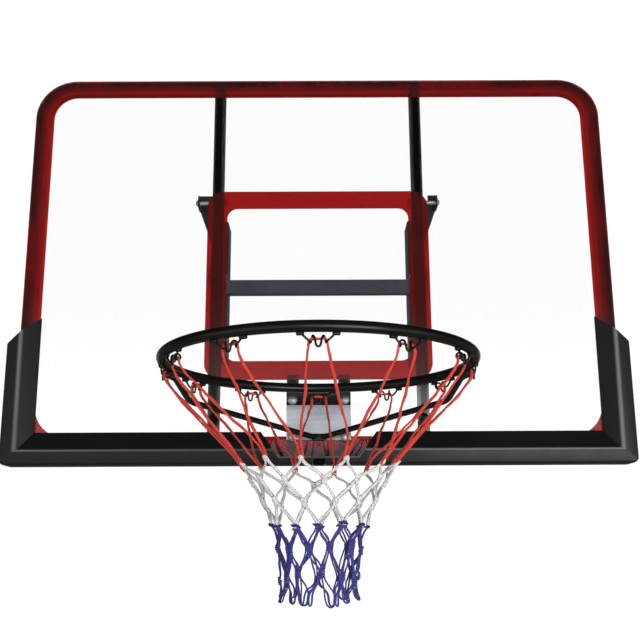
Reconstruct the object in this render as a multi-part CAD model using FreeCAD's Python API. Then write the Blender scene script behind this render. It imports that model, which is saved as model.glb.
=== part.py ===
import FreeCAD, Part
import math
import os
from FreeCAD import Vector

os.makedirs("parts", exist_ok=True)

# Basketball backboard with its rear frame, lift brackets, corner guards, rim and net.
# Units are millimetres. +X is the board's right, -Y is its front and +Z is up.
# A depth runs back from the panel's front face, and a level runs up from the panel's lower edge.

# Clear panel
PANEL_W = 1118.0
PANEL_H = 762.0
PANEL_T = 4.0
PANEL_TOP_R = 78.0
PANEL_FOOT_R = 12.0

# Printed bands on the panel's back
FILM_T = 0.25
BORDER_BAND = 36.0
BORDER_FOOT_BAND = 48.0
BORDER_TOP_R = 46.0
BORDER_FOOT_R = 57.0
TARGET_W = 427.0
TARGET_H = 373.0
TARGET_LEVEL = 153.0
TARGET_SIDE_BAND = 38.5
TARGET_BAND = 36.0
TARGET_OUTER_R = 32.0
TARGET_INNER_R = 20.0

# Foam tape that holds the panel off the steel
STANDOFF = 1.0
TAPE_W = 12.0

# Perimeter frame of square tube
FRAME_W = 20.0
FRAME_D = 25.0
FRAME_WALL = 1.5
FRAME_INSET = 1.0
PLUG_FLANGE = 2.0
PLUG_REACH = 14.0
PLUG_GAP = 0.1

# Uprights, cross bar and rim posts
UPRIGHT_X = 195.0
UPRIGHT_W = 20.0
UPRIGHT_D = 30.0
CROSS_H = 27.0
CROSS_D = 20.0
CROSS_LEVEL = 335.0
POST_W = 22.0
POST_D = 25.0
POST_TOP = 161.0

# Lift brackets folded from sheet
SHEET_T = 3.0
CHEEK_STEP = 9.0
CHEEK_REACH = 60.0
CHEEK_TOP = 475.0
CHEEK_FOOT = 190.0
ARM_BORE_R = 6.5
ARM_BORE_LEVEL = 230.0
ARM_BORE_EDGE = 15.0
EAR_REACH = 29.0
EAR_TOP = 529.0
EAR_FRONT = 10.0
EAR_TAPER_TOP = 502.0
EAR_TAPER_FOOT = 428.0
EAR_NOTCH_W = 12.0
EAR_NOTCH_H = 12.0
PIVOT_LEVEL = 508.0
PIVOT_EYE_R = 12.0
CLAMP_LEVEL = 358.0
CLAMP_H = 36.0

# Bolts
BOLT_R = 4.0
BOLT_GAP = 0.3
PIVOT_GAP = 0.08
THREAD_GAP = 0.02
HEAD_R = 7.0
HEAD_H = 5.0
NUT_FLATS = 13.0
NUT_H = 7.0
BOLT_TAIL = 2.0
FREE_PLAY = 0.3
WASHER_R = 10.0
WASHER_T = 1.6

# Corner guards
PAD_SIDE_IN = 39.0
PAD_SIDE_OUT = 20.0
PAD_FOOT_IN = 56.0
PAD_FOOT_OUT = 3.5
PAD_LEG_TOP = 271.0
PAD_LEG_DROP = 51.0
PAD_RIDGE = 0.484
PAD_RIDGE_PROUD = 22.0
PAD_RIM_PROUD = 4.0
PAD_OUTER_PROUD = 13.0
PAD_CORNER_R = 10.0
PAD_LIP_T = 3.5
PAD_LIP_IN = 16.0
PAD_FIT = 0.4
PAD_STEP_X = 106.0
PAD_STEP_RUN = 33.0
PAD_STRIP_TOP = 15.0
PAD_END_X = 11.0
JOINER_FRONT = 5.0
JOINER_TOP = 7.0
JOINER_WALL = 3.0
SCREW_R = 2.0
SCREW_HEAD_R = 4.0
SCREW_HEAD_H = 2.4
SCREW_REACH = 6.0
SCREW_LEVEL = 150.0
SCREW_X1 = 200.0
SCREW_X2 = 420.0

# Rim
RING_BORE = 450.0
RING_BAR = 16.0
RING_REACH = 107.0
RING_LEVEL = 120.0
PLATE_W = 118.0
PLATE_T = 4.0
PLATE_TOP = 140.0
PLATE_FOOT = 41.0
NECK_T = 4.0
NECK_FOOT = 104.0
SHELF_W = 68.0
SHELF_T = 5.0
RIM_BOLT_W = 96.0
RIM_BOLT_TOP = 114.0
RIM_BOLT_H = 67.0
DOME_R = 9.0
DOME_H = 4.5

# Brace of round bar
BRACE_BAR = 10.0
BRACE_ARC_FROM = 8.0
BRACE_ARC_TO = 16.0
BRACE_BEND_X = 210.0
BRACE_BEND_FRONT = 200.0
BRACE_BEND_DROP = 39.0
BRACE_LEVEL = 44.5
BRACE_NOSE_R = 60.0
BRACE_BEND_R = 40.0
BRACE_HEEL_R = 30.0
EYE_W = 24.0
EYE_H = 13.0
EYE_T = 11.0
EYE_SCREW_R = 2.5
EYE_HEAD_R = 3.4
EYE_HEAD_H = 1.6
WELD = 0.05

# Net hooks of wire
HOOKS = 12
HOOK_WIRE = 3.0
HOOK_FOOT_SPAN = 46.0
HOOK_FOOT_L = 8.5
HOOK_FOOT_W = 5.0
HOOK_FOOT_H = 4.0
HOOK_CURL_X = 10.0
HOOK_CURL_DROP = 14.5
HOOK_CREST_X = 6.0
HOOK_CREST_DROP = 3.0
HOOK_MIDDLE_DROP = 16.0
HOOK_BEND_R = 2.2

# Net: each row of knots hangs NET_DROPS below the ring's middle plane, on a circle of NET_RADII
CORD = 4.6
CORD_GAP = 0.3
LOOP_DROP = 8.0
KNOT_R = 5.2
KNOT_H = 8.0
NET_DROPS = [150.0, 180.0, 209.0, 241.0, 271.0, 304.0, 349.0]
NET_RADII = [117.0, 98.0, 83.0, 68.5, 61.0, 56.0, 55.0]
NET_TURNS = [4.0, 2.5, -0.5, 0.0, 1.0, 2.0, 2.0]
NET_SWAY = 1.6
NET_SAG = 2.5

# Derived places
HALF_W = PANEL_W / 2
FRAME_FRONT = PANEL_T + STANDOFF
FRAME_REAR = FRAME_FRONT + FRAME_D
FRAME_HALF = HALF_W - FRAME_INSET
RAIL_TOP = FRAME_INSET + FRAME_W
UP_IN = UPRIGHT_X - UPRIGHT_W / 2
UP_OUT = UPRIGHT_X + UPRIGHT_W / 2
UP_REAR = FRAME_FRONT + UPRIGHT_D
UP_MID = FRAME_FRONT + UPRIGHT_D / 2
CHEEK_X = UP_IN - CHEEK_STEP
CHEEK_REAR = UP_REAR + CHEEK_REACH
EAR_X = UP_OUT + EAR_REACH
RING_R = RING_BORE / 2 + RING_BAR / 2
RING_DEPTH = -(RING_REACH + RING_BORE / 2)
POST_X = RIM_BOLT_W / 2
POST_REAR = FRAME_FRONT + POST_D
NECK_FRONT = -(PLATE_T + NECK_T)
RIM_BOLT_FOOT = RIM_BOLT_TOP - RIM_BOLT_H

# The origin is the middle of the two lower arm bores' common axis
ORIGIN_DEPTH = CHEEK_REAR - ARM_BORE_EDGE
ORIGIN_LEVEL = ARM_BORE_LEVEL

X_AXIS = Vector(1, 0, 0)
Y_AXIS = Vector(0, 1, 0)
Z_AXIS = Vector(0, 0, 1)


def at(x, depth, level):
    """A point from its X, its depth behind the panel's front and its level above the panel's foot."""
    return Vector(x, depth - ORIGIN_DEPTH, level - ORIGIN_LEVEL)


def box(x0, x1, d0, d1, l0, l1):
    return Part.makeBox(x1 - x0, d1 - d0, l1 - l0, at(x0, d0, l0))


def rod_x(x0, x1, depth, level, r):
    return Part.makeCylinder(r, x1 - x0, at(x0, depth, level), X_AXIS)


def rod_y(x, d0, d1, level, r):
    return Part.makeCylinder(r, d1 - d0, at(x, d0, level), Y_AXIS)


def slab(wire_points, d0, d1):
    """A flat outline in X and level, from depth d0 to d1."""
    points = [at(x, d0, level) for x, level in wire_points]
    face = Part.Face(Part.makePolygon(points + points[:1]))
    return face.extrude(Vector(0, d1 - d0, 0))


def rounded_slab(half_w, l0, l1, r_foot, r_top, d0, d1):
    """A block with rounded lower and upper corners, from depth d0 to d1."""
    block = box(-half_w, half_w, d0, d1, l0, l1)
    for level, r in ((l0, r_foot), (l1, r_top)):
        if r > 0:
            edges = [e for e in block.Edges if along_y(e) and abs(e.Vertexes[0].Z - at(0, 0, level).z) < 1e-6]
            block = block.makeFillet(r, edges)
    return block


def along_y(edge):
    a, b = edge.Vertexes[0].Point, edge.Vertexes[-1].Point
    return abs(a.x - b.x) < 1e-6 and abs(a.z - b.z) < 1e-6 and abs(a.y - b.y) > 1e-6


def hex_x(x0, x1, depth, level, bore_r):
    """A hexagon nut whose axis is X."""
    r = NUT_FLATS / math.sqrt(3)
    ring = [at(x0, depth + r * math.cos(math.radians(60 * i)), level + r * math.sin(math.radians(60 * i)))
            for i in range(6)]
    nut = Part.Face(Part.makePolygon(ring + ring[:1])).extrude(Vector(x1 - x0, 0, 0))
    return nut.cut(rod_x(x0 - 1, x1 + 1, depth, level, bore_r))


def hex_y(x, d0, d1, level, bore_r):
    """A hexagon nut whose axis is Y."""
    r = NUT_FLATS / math.sqrt(3)
    ring = [at(x + r * math.cos(math.radians(60 * i)), d0, level + r * math.sin(math.radians(60 * i)))
            for i in range(6)]
    nut = Part.Face(Part.makePolygon(ring + ring[:1])).extrude(Vector(0, d1 - d0, 0))
    return nut.cut(rod_y(x, d0 - 1, d1 + 1, level, bore_r))


def dome(centre, outward, base_r, height):
    """A low round bolt head standing on its flat base."""
    ball_r = (base_r ** 2 + height ** 2) / (2 * height)
    ball = Part.makeSphere(ball_r, centre - outward * (ball_r - height))
    return ball.common(Part.makeCylinder(base_r + 1, height + 1, centre, outward))


def bent_bar(points, radii, bar_r):
    """A round bar along straight runs joined by tangent arcs, one radius for each inner point."""
    edges = []
    start = points[0]
    for before, corner, after, r in zip(points, points[1:], points[2:], radii):
        u = (before - corner).normalize()
        w = (after - corner).normalize()
        half = u.getAngle(w) / 2
        run = r / math.tan(half)
        middle = corner + (u + w).normalize() * (r / math.sin(half) - r)
        edges.append(Part.LineSegment(start, corner + u * run).toShape())
        edges.append(Part.Arc(corner + u * run, middle, corner + w * run).toShape())
        start = corner + w * run
    edges.append(Part.LineSegment(start, points[-1]).toShape())
    path = Part.Wire(edges)
    section = Part.Wire(Part.makeCircle(bar_r, points[0], points[1] - points[0]))
    return path.makePipeShell([section], True, False)


def mirrored(shape):
    return shape.mirror(Vector(0, 0, 0), X_AXIS)


def cut_all(shape, tools):
    return shape.cut(tools[0].multiFuse(tools[1:])) if len(tools) > 1 else shape.cut(tools[0])


def export(name, shapes):
    solids = shapes if isinstance(shapes, list) else [shapes]
    solids = [s for shape in solids for s in shape.Solids]
    for s in solids:
        if not s.isValid() or s.Volume <= 0:
            raise ValueError(name + " has a bad solid")
    shape = solids[0] if len(solids) == 1 else Part.makeCompound(solids)
    shape.exportStep("parts/" + name + ".step")


RIM_BOLTS = [(s * RIM_BOLT_W / 2, level) for s in (-1, 1) for level in (RIM_BOLT_FOOT, RIM_BOLT_TOP)]


def rim_bolt_holes(d0, d1):
    return [rod_y(x, d0, d1, level, BOLT_R + BOLT_GAP) for x, level in RIM_BOLTS]


# Board: the sheet and its printed bands
def board():
    panel = rounded_slab(HALF_W, 0, PANEL_H, PANEL_FOOT_R, PANEL_TOP_R, 0, PANEL_T)
    export("board_panel", cut_all(panel, rim_bolt_holes(-1, PANEL_T + 1)))
    d0, d1 = PANEL_T, PANEL_T + FILM_T
    border = rounded_slab(HALF_W, 0, PANEL_H, PANEL_FOOT_R, PANEL_TOP_R, d0, d1)
    border = border.cut(rounded_slab(HALF_W - BORDER_BAND, BORDER_FOOT_BAND, PANEL_H - BORDER_BAND,
                                     BORDER_FOOT_R, BORDER_TOP_R, d0 - 1, d1 + 1))
    border = cut_all(border, rim_bolt_holes(d0 - 1, d1 + 1))
    foot, top = TARGET_LEVEL, TARGET_LEVEL + TARGET_H
    target = rounded_slab(TARGET_W / 2, foot, top, TARGET_OUTER_R, TARGET_OUTER_R, d0, d1)
    target = target.cut(rounded_slab(TARGET_W / 2 - TARGET_SIDE_BAND, foot + TARGET_BAND, top - TARGET_BAND,
                                     TARGET_INNER_R, TARGET_INNER_R, d0 - 1, d1 + 1))
    export("border_print", border)
    export("target_print", target)
    return border, target


# Frame: a bent hoop, a straight rail, plugs and the tape
def hoop_outline(skin, d0, d1, foot):
    """The hoop's U shape, drawn in from its own surface by skin."""
    half, top = FRAME_HALF - skin, PANEL_H - FRAME_INSET - skin
    width = FRAME_W - 2 * skin
    outer_r = PANEL_TOP_R - FRAME_INSET - skin
    outer = rounded_slab(half, foot, top, 0, outer_r, d0, d1)
    return outer.cut(rounded_slab(half - width, foot - 1, top - width, 0, outer_r - width, d0 - 1, d1 + 1))


def frame(films):
    hoop_foot = FRAME_INSET + PLUG_FLANGE
    hoop = hoop_outline(0, FRAME_FRONT, FRAME_REAR, hoop_foot)
    hollow = hoop_outline(FRAME_WALL, FRAME_FRONT + FRAME_WALL, FRAME_REAR - FRAME_WALL, hoop_foot - 1)
    export("frame_hoop", cut_all(hoop.cut(hollow), pad_screw_holes()))

    plugs = []
    side = FRAME_HALF - FRAME_W
    for s in (-1, 1):
        x0, x1 = sorted((s * side, s * FRAME_HALF))
        flange = box(x0, x1, FRAME_FRONT, FRAME_REAR, FRAME_INSET, hoop_foot)
        g = FRAME_WALL + PLUG_GAP
        stem = box(x0 + g, x1 - g, FRAME_FRONT + g, FRAME_REAR - g, hoop_foot - 0.5, hoop_foot + PLUG_REACH)
        plugs.append(flange.fuse(stem).removeSplitter())
    export("frame_plugs", plugs)

    rail = box(-side, side, FRAME_FRONT, FRAME_REAR, FRAME_INSET, RAIL_TOP)
    rail = rail.cut(box(-side - 1, side + 1, FRAME_FRONT + FRAME_WALL, FRAME_REAR - FRAME_WALL,
                        FRAME_INSET + FRAME_WALL, RAIL_TOP - FRAME_WALL))
    export("frame_bottom_rail", cut_all(rail, pad_screw_holes()))

    margin = (FRAME_W - TAPE_W) / 2
    d0, d1 = PANEL_T, FRAME_FRONT
    strips = [hoop_outline(margin, d0, d1, RAIL_TOP)]
    strips.append(box(-side, side, d0, d1, FRAME_INSET + margin, RAIL_TOP - margin))
    for s in (-1, 1):
        strips.append(box(s * UPRIGHT_X - TAPE_W / 2, s * UPRIGHT_X + TAPE_W / 2, d0, d1, RAIL_TOP,
                          PANEL_H - FRAME_INSET - FRAME_W))
        post_strip = box(s * POST_X - TAPE_W / 2, s * POST_X + TAPE_W / 2, d0, d1, RAIL_TOP, POST_TOP)
        strips.append(cut_all(post_strip, rim_bolt_holes(d0 - 1, d1 + 1)))
    export("frame_tape", [cut_all(strip, list(films)) for strip in strips])


def tube_z(x, w, d, l0, l1):
    """A square tube standing behind the panel, open at both ends."""
    outer = box(x - w / 2, x + w / 2, FRAME_FRONT, FRAME_FRONT + d, l0, l1)
    return outer.cut(box(x - w / 2 + FRAME_WALL, x + w / 2 - FRAME_WALL, FRAME_FRONT + FRAME_WALL,
                         FRAME_FRONT + d - FRAME_WALL, l0 - 1, l1 + 1))


# Uprights, cross bar and the posts that take the rim's bolts
def uprights():
    top = PANEL_H - FRAME_INSET - FRAME_W
    for side, s in (("left", -1), ("right", 1)):
        tube = tube_z(s * UPRIGHT_X, UPRIGHT_W, UPRIGHT_D, RAIL_TOP, top)
        holes = [rod_x(s * UPRIGHT_X - UPRIGHT_W, s * UPRIGHT_X + UPRIGHT_W, UP_MID, PIVOT_LEVEL, BOLT_R + PIVOT_GAP),
                 rod_x(s * UPRIGHT_X - UPRIGHT_W, s * UPRIGHT_X + UPRIGHT_W, UP_MID, CLAMP_LEVEL, BOLT_R + BOLT_GAP)]
        export("upright_" + side, cut_all(tube, holes))

    c0, c1 = UP_MID - CROSS_D / 2, UP_MID + CROSS_D / 2
    l0, l1 = CROSS_LEVEL - CROSS_H / 2, CROSS_LEVEL + CROSS_H / 2
    bar = box(-UP_IN, UP_IN, c0, c1, l0, l1)
    bar = bar.cut(box(-UP_IN - 1, UP_IN + 1, c0 + FRAME_WALL, c1 - FRAME_WALL, l0 + FRAME_WALL, l1 - FRAME_WALL))
    export("cross_bar", bar)

    caps = []
    for side, s in (("left", -1), ("right", 1)):
        post = tube_z(s * POST_X, POST_W, POST_D, RAIL_TOP, POST_TOP)
        export("rim_post_" + side, cut_all(post, rim_bolt_holes(FRAME_FRONT - 1, POST_REAR + 1)))
        x0, x1 = s * POST_X - POST_W / 2, s * POST_X + POST_W / 2
        g = FRAME_WALL + PLUG_GAP
        flange = box(x0, x1, FRAME_FRONT, POST_REAR, POST_TOP, POST_TOP + PLUG_FLANGE)
        stem = box(x0 + g, x1 - g, FRAME_FRONT + g, POST_REAR - g, POST_TOP - PLUG_REACH, POST_TOP + 0.5)
        caps.append(flange.fuse(stem).removeSplitter())
    export("post_caps", caps)


# Lift brackets: a web behind the upright, a cheek folded back and an ear folded forward
def lift_bracket(notched):
    web_out = UP_OUT + SHEET_T
    web = slab([(CHEEK_X, CHEEK_FOOT), (web_out, CHEEK_FOOT), (web_out, EAR_TAPER_FOOT), (EAR_X, EAR_TAPER_TOP),
                (EAR_X, EAR_TOP), (UP_IN, EAR_TOP), (UP_IN, CHEEK_TOP), (CHEEK_X, CHEEK_TOP)],
               UP_REAR, UP_REAR + SHEET_T)
    cheek = box(CHEEK_X, CHEEK_X + SHEET_T, UP_REAR, CHEEK_REAR, CHEEK_FOOT, CHEEK_TOP)
    ear = box(EAR_X - SHEET_T, EAR_X, EAR_FRONT, UP_REAR + SHEET_T, PIVOT_LEVEL - PIVOT_EYE_R,
              PIVOT_LEVEL + PIVOT_EYE_R)
    clamp = box(UP_OUT, web_out, EAR_FRONT, UP_REAR + SHEET_T, CLAMP_LEVEL - CLAMP_H / 2, CLAMP_LEVEL + CLAMP_H / 2)
    bracket = web.multiFuse([cheek, ear, clamp]).removeSplitter()
    tools = [rod_x(CHEEK_X - 1, CHEEK_X + SHEET_T + 1, ORIGIN_DEPTH, ORIGIN_LEVEL, ARM_BORE_R),
             rod_x(EAR_X - SHEET_T - 1, EAR_X + 1, UP_MID, PIVOT_LEVEL, BOLT_R + PIVOT_GAP),
             rod_x(UP_OUT - 1, web_out + 1, UP_MID, CLAMP_LEVEL, BOLT_R + BOLT_GAP)]
    if notched:
        tools.append(box(UP_OUT + 1, UP_OUT + 1 + EAR_NOTCH_W, UP_REAR - 1, UP_REAR + SHEET_T + 1,
                         EAR_TOP - EAR_NOTCH_H, EAR_TOP + 1))
    return cut_all(bracket, tools)


def brackets():
    export("lift_bracket_right", lift_bracket(True))
    export("lift_bracket_left", mirrored(lift_bracket(False)))

    head_x = UP_OUT + SHEET_T
    bolt = rod_x(UP_IN - NUT_H - BOLT_TAIL, head_x, UP_MID, CLAMP_LEVEL, BOLT_R)
    bolt = bolt.fuse(dome(at(head_x, UP_MID, CLAMP_LEVEL), X_AXIS, HEAD_R, HEAD_H))
    nut = hex_x(UP_IN - NUT_H, UP_IN, UP_MID, CLAMP_LEVEL, BOLT_R + THREAD_GAP)
    export("bracket_bolts", [bolt, mirrored(bolt)])
    export("bracket_nuts", [nut, mirrored(nut)])

    head_x = EAR_X + FREE_PLAY
    nut_x = UP_IN - FREE_PLAY
    pivot = rod_x(nut_x - NUT_H - BOLT_TAIL, head_x, UP_MID, PIVOT_LEVEL, BOLT_R)
    pivot = pivot.fuse(dome(at(head_x, UP_MID, PIVOT_LEVEL), X_AXIS, HEAD_R, HEAD_H))
    lock = hex_x(nut_x - NUT_H, nut_x, UP_MID, PIVOT_LEVEL, BOLT_R + THREAD_GAP)
    export("pivot_bolt_right", pivot)
    export("pivot_nut_right", lock)
    export("pivot_bolt_left", mirrored(pivot))
    export("pivot_nut_left", mirrored(lock))


# Corner guards: L-shaped, with a ridge in front and a lip behind the frame
def pad_profile(inner, outer):
    """Section across a guard's leg as (distance out from the panel's edge, depth)."""
    ridge = -inner + PAD_RIDGE * (inner + outer)
    rear = FRAME_REAR + PAD_FIT + PAD_LIP_T
    return [(-inner, -PAD_FIT), (-inner, -PAD_RIM_PROUD), (ridge, -PAD_RIDGE_PROUD), (outer, -PAD_OUTER_PROUD),
            (outer, rear), (-PAD_LIP_IN, rear), (-PAD_LIP_IN, rear - PAD_LIP_T), (PAD_FIT, rear - PAD_LIP_T),
            (PAD_FIT, -PAD_FIT)]


def pad_screw_places():
    lip_x = HALF_W - PAD_LIP_IN / 2
    lip_level = PAD_LIP_IN / 2
    return [(s * x, level) for s in (-1, 1)
            for x, level in ((lip_x, SCREW_LEVEL), (SCREW_X1, lip_level), (SCREW_X2, lip_level))]


def pad_screw_holes():
    return [rod_y(x, FRAME_REAR - FRAME_WALL - 1, FRAME_REAR + 1, level, SCREW_R + THREAD_GAP)
            for x, level in pad_screw_places()]


def corner_pad():
    side = [at(HALF_W + out, d, 0) for out, d in pad_profile(PAD_SIDE_IN, PAD_SIDE_OUT)]
    low = -PAD_FOOT_OUT - 1
    leg = Part.Face(Part.makePolygon(side + side[:1])).extrude(Vector(0, 0, PAD_LEG_TOP - low))
    leg.translate(Vector(0, 0, low))
    foot = [at(0, d, -out) for out, d in pad_profile(PAD_FOOT_IN, PAD_FOOT_OUT)]
    reach = HALF_W + PAD_SIDE_OUT + 1
    beam = Part.Face(Part.makePolygon(foot + foot[:1])).extrude(Vector(reach, 0, 0))

    # The two legs meet on a mitre from the guard's inner corner to its outer one.
    near, far = -PAD_RIDGE_PROUD - 1, FRAME_REAR + PAD_FIT + PAD_LIP_T + 1
    run_x, run_l = PAD_SIDE_IN + PAD_SIDE_OUT, PAD_FOOT_IN + PAD_FOOT_OUT
    in_x, in_l = HALF_W - PAD_SIDE_IN, PAD_FOOT_IN
    high = 20.0
    mitre = [(in_x - high * run_x, in_l + high * run_l), (in_x + 2 * run_x, in_l - 2 * run_l)]
    upper = slab([mitre[0], mitre[1], (mitre[1][0] + high * run_x, mitre[1][1]), (mitre[1][0], mitre[0][1])], near, far)
    leg = leg.common(upper)
    beam = beam.cut(upper)
    pad = leg.fuse(beam).removeSplitter()

    top = PAD_LEG_TOP
    slope = slab([(in_x - 1, top + PAD_LEG_DROP / run_x), (HALF_W + PAD_SIDE_OUT + 1, top - PAD_LEG_DROP * (1 + 1 / run_x)),
                  (HALF_W + PAD_SIDE_OUT + 1, top + 2 * PAD_LEG_DROP), (in_x - 1, top + 2 * PAD_LEG_DROP)], near, far)
    step = slab([(-1, PAD_STRIP_TOP), (PAD_STEP_X - PAD_STEP_RUN, PAD_STRIP_TOP), (PAD_STEP_X, PAD_FOOT_IN),
                 (PAD_STEP_X, PAD_FOOT_IN + 1), (-1, PAD_FOOT_IN + 1)], near, PANEL_T)
    end = box(-1, PAD_END_X, near, far, low - 1, PAD_FOOT_IN + 1)
    holes = [rod_y(x, FRAME_REAR, far, level, SCREW_R + BOLT_GAP) for x, level in pad_screw_places() if x > 0]
    pad = cut_all(pad, [slope, step, end] + holes)
    corner = [e for e in pad.Edges if along_y(e)
              and abs(e.Vertexes[0].X - at(HALF_W + PAD_SIDE_OUT, 0, 0).x) < 1e-3
              and abs(e.Vertexes[0].Z - at(0, 0, -PAD_FOOT_OUT).z) < 1e-3]
    return pad.makeFillet(PAD_CORNER_R, corner)


def guards():
    pad = corner_pad()
    export("corner_pad_right", pad)
    export("corner_pad_left", mirrored(pad))

    rear = FRAME_REAR + PAD_FIT
    half = PAD_END_X - PAD_FIT
    clip = box(-half, half, -JOINER_FRONT, rear + JOINER_WALL, -PAD_FIT - JOINER_WALL, JOINER_TOP)
    clip = clip.cut(box(-half - 1, half + 1, -PAD_FIT, rear, -PAD_FIT, JOINER_TOP + 1))
    export("pad_joiner", clip)

    seat = rear + PAD_LIP_T
    screws = []
    for x, level in pad_screw_places():
        stem = rod_y(x, FRAME_REAR - SCREW_REACH, seat, level, SCREW_R)
        screws.append(stem.fuse(dome(at(x, seat, level), Y_AXIS, SCREW_HEAD_R, SCREW_HEAD_H)))
    export("pad_screws", screws)


# Rim: plates, ring, bolts and brace
def ring_point(angle, r, level, depth_axis=RING_DEPTH):
    """A point on a circle about the ring's axis; angle 0 is the front and 90 is the board's right."""
    a = math.radians(angle)
    return at(r * math.sin(a), depth_axis - r * math.cos(a), level)


def rim():
    ring = Part.makeTorus(RING_R, RING_BAR / 2, at(0, RING_DEPTH, RING_LEVEL), Z_AXIS)
    export("rim_ring", ring)

    half = PLATE_W / 2
    eye_hole = rod_y(0, -PLATE_T - EYE_T - 1, 1, BRACE_LEVEL, EYE_SCREW_R + BOLT_GAP)
    lug_foot = BRACE_LEVEL - EYE_H / 2
    plate = box(-half, half, -PLATE_T, 0, PLATE_FOOT, PLATE_TOP)
    plate = plate.fuse(box(-EYE_W / 2, EYE_W / 2, -PLATE_T, 0, lug_foot, PLATE_FOOT + 1)).removeSplitter()
    export("rim_plate", cut_all(plate, rim_bolt_holes(-PLATE_T - 1, 1) + [eye_hole]))

    neck = box(-half, half, NECK_FRONT, -PLATE_T, NECK_FOOT, PLATE_TOP)
    export("neck_plate", cut_all(neck, rim_bolt_holes(NECK_FRONT - 1, 0)))
    shelf = box(-SHELF_W / 2, SHELF_W / 2, RING_DEPTH + RING_R, NECK_FRONT, RING_LEVEL - SHELF_T / 2,
                RING_LEVEL + SHELF_T / 2)
    export("neck_shelf", shelf.cut(ring))

    bolts, washers, nuts = [], [], []
    nut_d = POST_REAR + WASHER_T
    for x, level in RIM_BOLTS:
        seat = NECK_FRONT if level == RIM_BOLT_TOP else -PLATE_T
        stem = rod_y(x, seat, nut_d + NUT_H + BOLT_TAIL, level, BOLT_R)
        bolts.append(stem.fuse(dome(at(x, seat, level), -Y_AXIS, DOME_R, DOME_H)))
        washer = rod_y(x, POST_REAR, nut_d, level, WASHER_R)
        washers.append(washer.cut(rod_y(x, POST_REAR - 1, nut_d + 1, level, BOLT_R + BOLT_GAP)))
        nuts.append(hex_y(x, nut_d, nut_d + NUT_H, level, BOLT_R + THREAD_GAP))
    export("rim_bolts", bolts)
    export("rim_washers", washers)
    export("rim_nuts", nuts)

    # The brace runs under the ring, bends down and back, and turns round its nose on the plate.
    under = RING_LEVEL - RING_BAR / 2 - BRACE_BAR / 2 - WELD
    bend = Vector(BRACE_BEND_X, -BRACE_BEND_FRONT, RING_LEVEL - BRACE_BEND_DROP)
    nose = Vector(0, -PLATE_T - EYE_T / 2, BRACE_LEVEL)
    back_run = Vector(0, nose.y - bend.y, nose.z - bend.z)
    reach = back_run.Length - BRACE_NOSE_R
    aim = math.atan2(reach, bend.x) + math.asin(BRACE_NOSE_R / math.hypot(bend.x, reach))
    tip = Vector(0, bend.y, bend.z) + back_run.normalize() * (bend.x * math.tan(aim))
    half_path = [ring_point(90 + BRACE_ARC_FROM, RING_R, under), ring_point(90 + BRACE_ARC_TO, RING_R, under),
                 at(bend.x, bend.y, bend.z)]
    other = [Vector(-p.x, p.y, p.z) for p in reversed(half_path)]
    bar = bent_bar(half_path + [at(tip.x, tip.y, tip.z)] + other,
                   [BRACE_HEEL_R, BRACE_BEND_R, BRACE_NOSE_R, BRACE_BEND_R, BRACE_HEEL_R], BRACE_BAR / 2)
    eye = box(-EYE_W / 2, EYE_W / 2, -PLATE_T - EYE_T, -PLATE_T, lug_foot, BRACE_LEVEL + EYE_H / 2)
    export("rim_brace", bar.fuse(eye).cut(eye_hole))
    seat = -PLATE_T - EYE_T
    screw = rod_y(0, seat, -WELD, BRACE_LEVEL, EYE_SCREW_R)
    export("brace_screw", screw.fuse(dome(at(0, seat, BRACE_LEVEL), -Y_AXIS, EYE_HEAD_R, EYE_HEAD_H)))


# Net hooks: W-shaped wires under the ring, each on two small welded feet
def turned(shape, angle):
    copy = shape.copy()
    copy.rotate(at(0, RING_DEPTH, 0), Z_AXIS, angle)
    return copy


def hooks():
    front = RING_DEPTH - RING_R
    under = RING_LEVEL - RING_BAR / 2 - WELD
    half = [(HOOK_FOOT_SPAN / 2, HOOK_FOOT_H / 2), (HOOK_CURL_X, HOOK_CURL_DROP), (HOOK_CREST_X, HOOK_CREST_DROP)]
    places = [(-x, drop) for x, drop in half] + [(0, HOOK_MIDDLE_DROP)] + half[::-1]
    wire = bent_bar([at(x, front, under - drop) for x, drop in places], [HOOK_BEND_R] * 5, HOOK_WIRE / 2)
    feet = [box(s * HOOK_FOOT_SPAN / 2 - HOOK_FOOT_L / 2, s * HOOK_FOOT_SPAN / 2 + HOOK_FOOT_L / 2,
                front - HOOK_FOOT_W / 2, front + HOOK_FOOT_W / 2, under - HOOK_FOOT_H, under) for s in (-1, 1)]
    hook = wire.multiFuse(feet)
    export("net_hooks", [turned(hook, 360.0 / HOOKS * i) for i in range(HOOKS)])


# Net: straight cords between knots, with each row of knots half a step round from the next
def knot(row, i):
    step = 360.0 / HOOKS
    offset = step / 2 if row % 2 == 0 else 0.0
    angle = step * i + offset + NET_TURNS[row] + NET_SWAY * math.sin(2.1 * i + 1.3 * row)
    drop = NET_DROPS[row] + NET_SAG * math.sin(1.7 * i + 0.9 * row)
    return angle, NET_RADII[row], RING_LEVEL - drop


def knot_side(row, i, side, end):
    """Where a cord meets a knot: side -1 or 1 along the row, end 1 above it and -1 below."""
    angle, r, level = knot(row, i)
    across = Vector(math.cos(math.radians(angle)), math.sin(math.radians(angle)), 0)
    return ring_point(angle, r, level) + across * (side * (CORD / 2 + CORD_GAP)) + Z_AXIS * (end * KNOT_H / 2)


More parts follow.
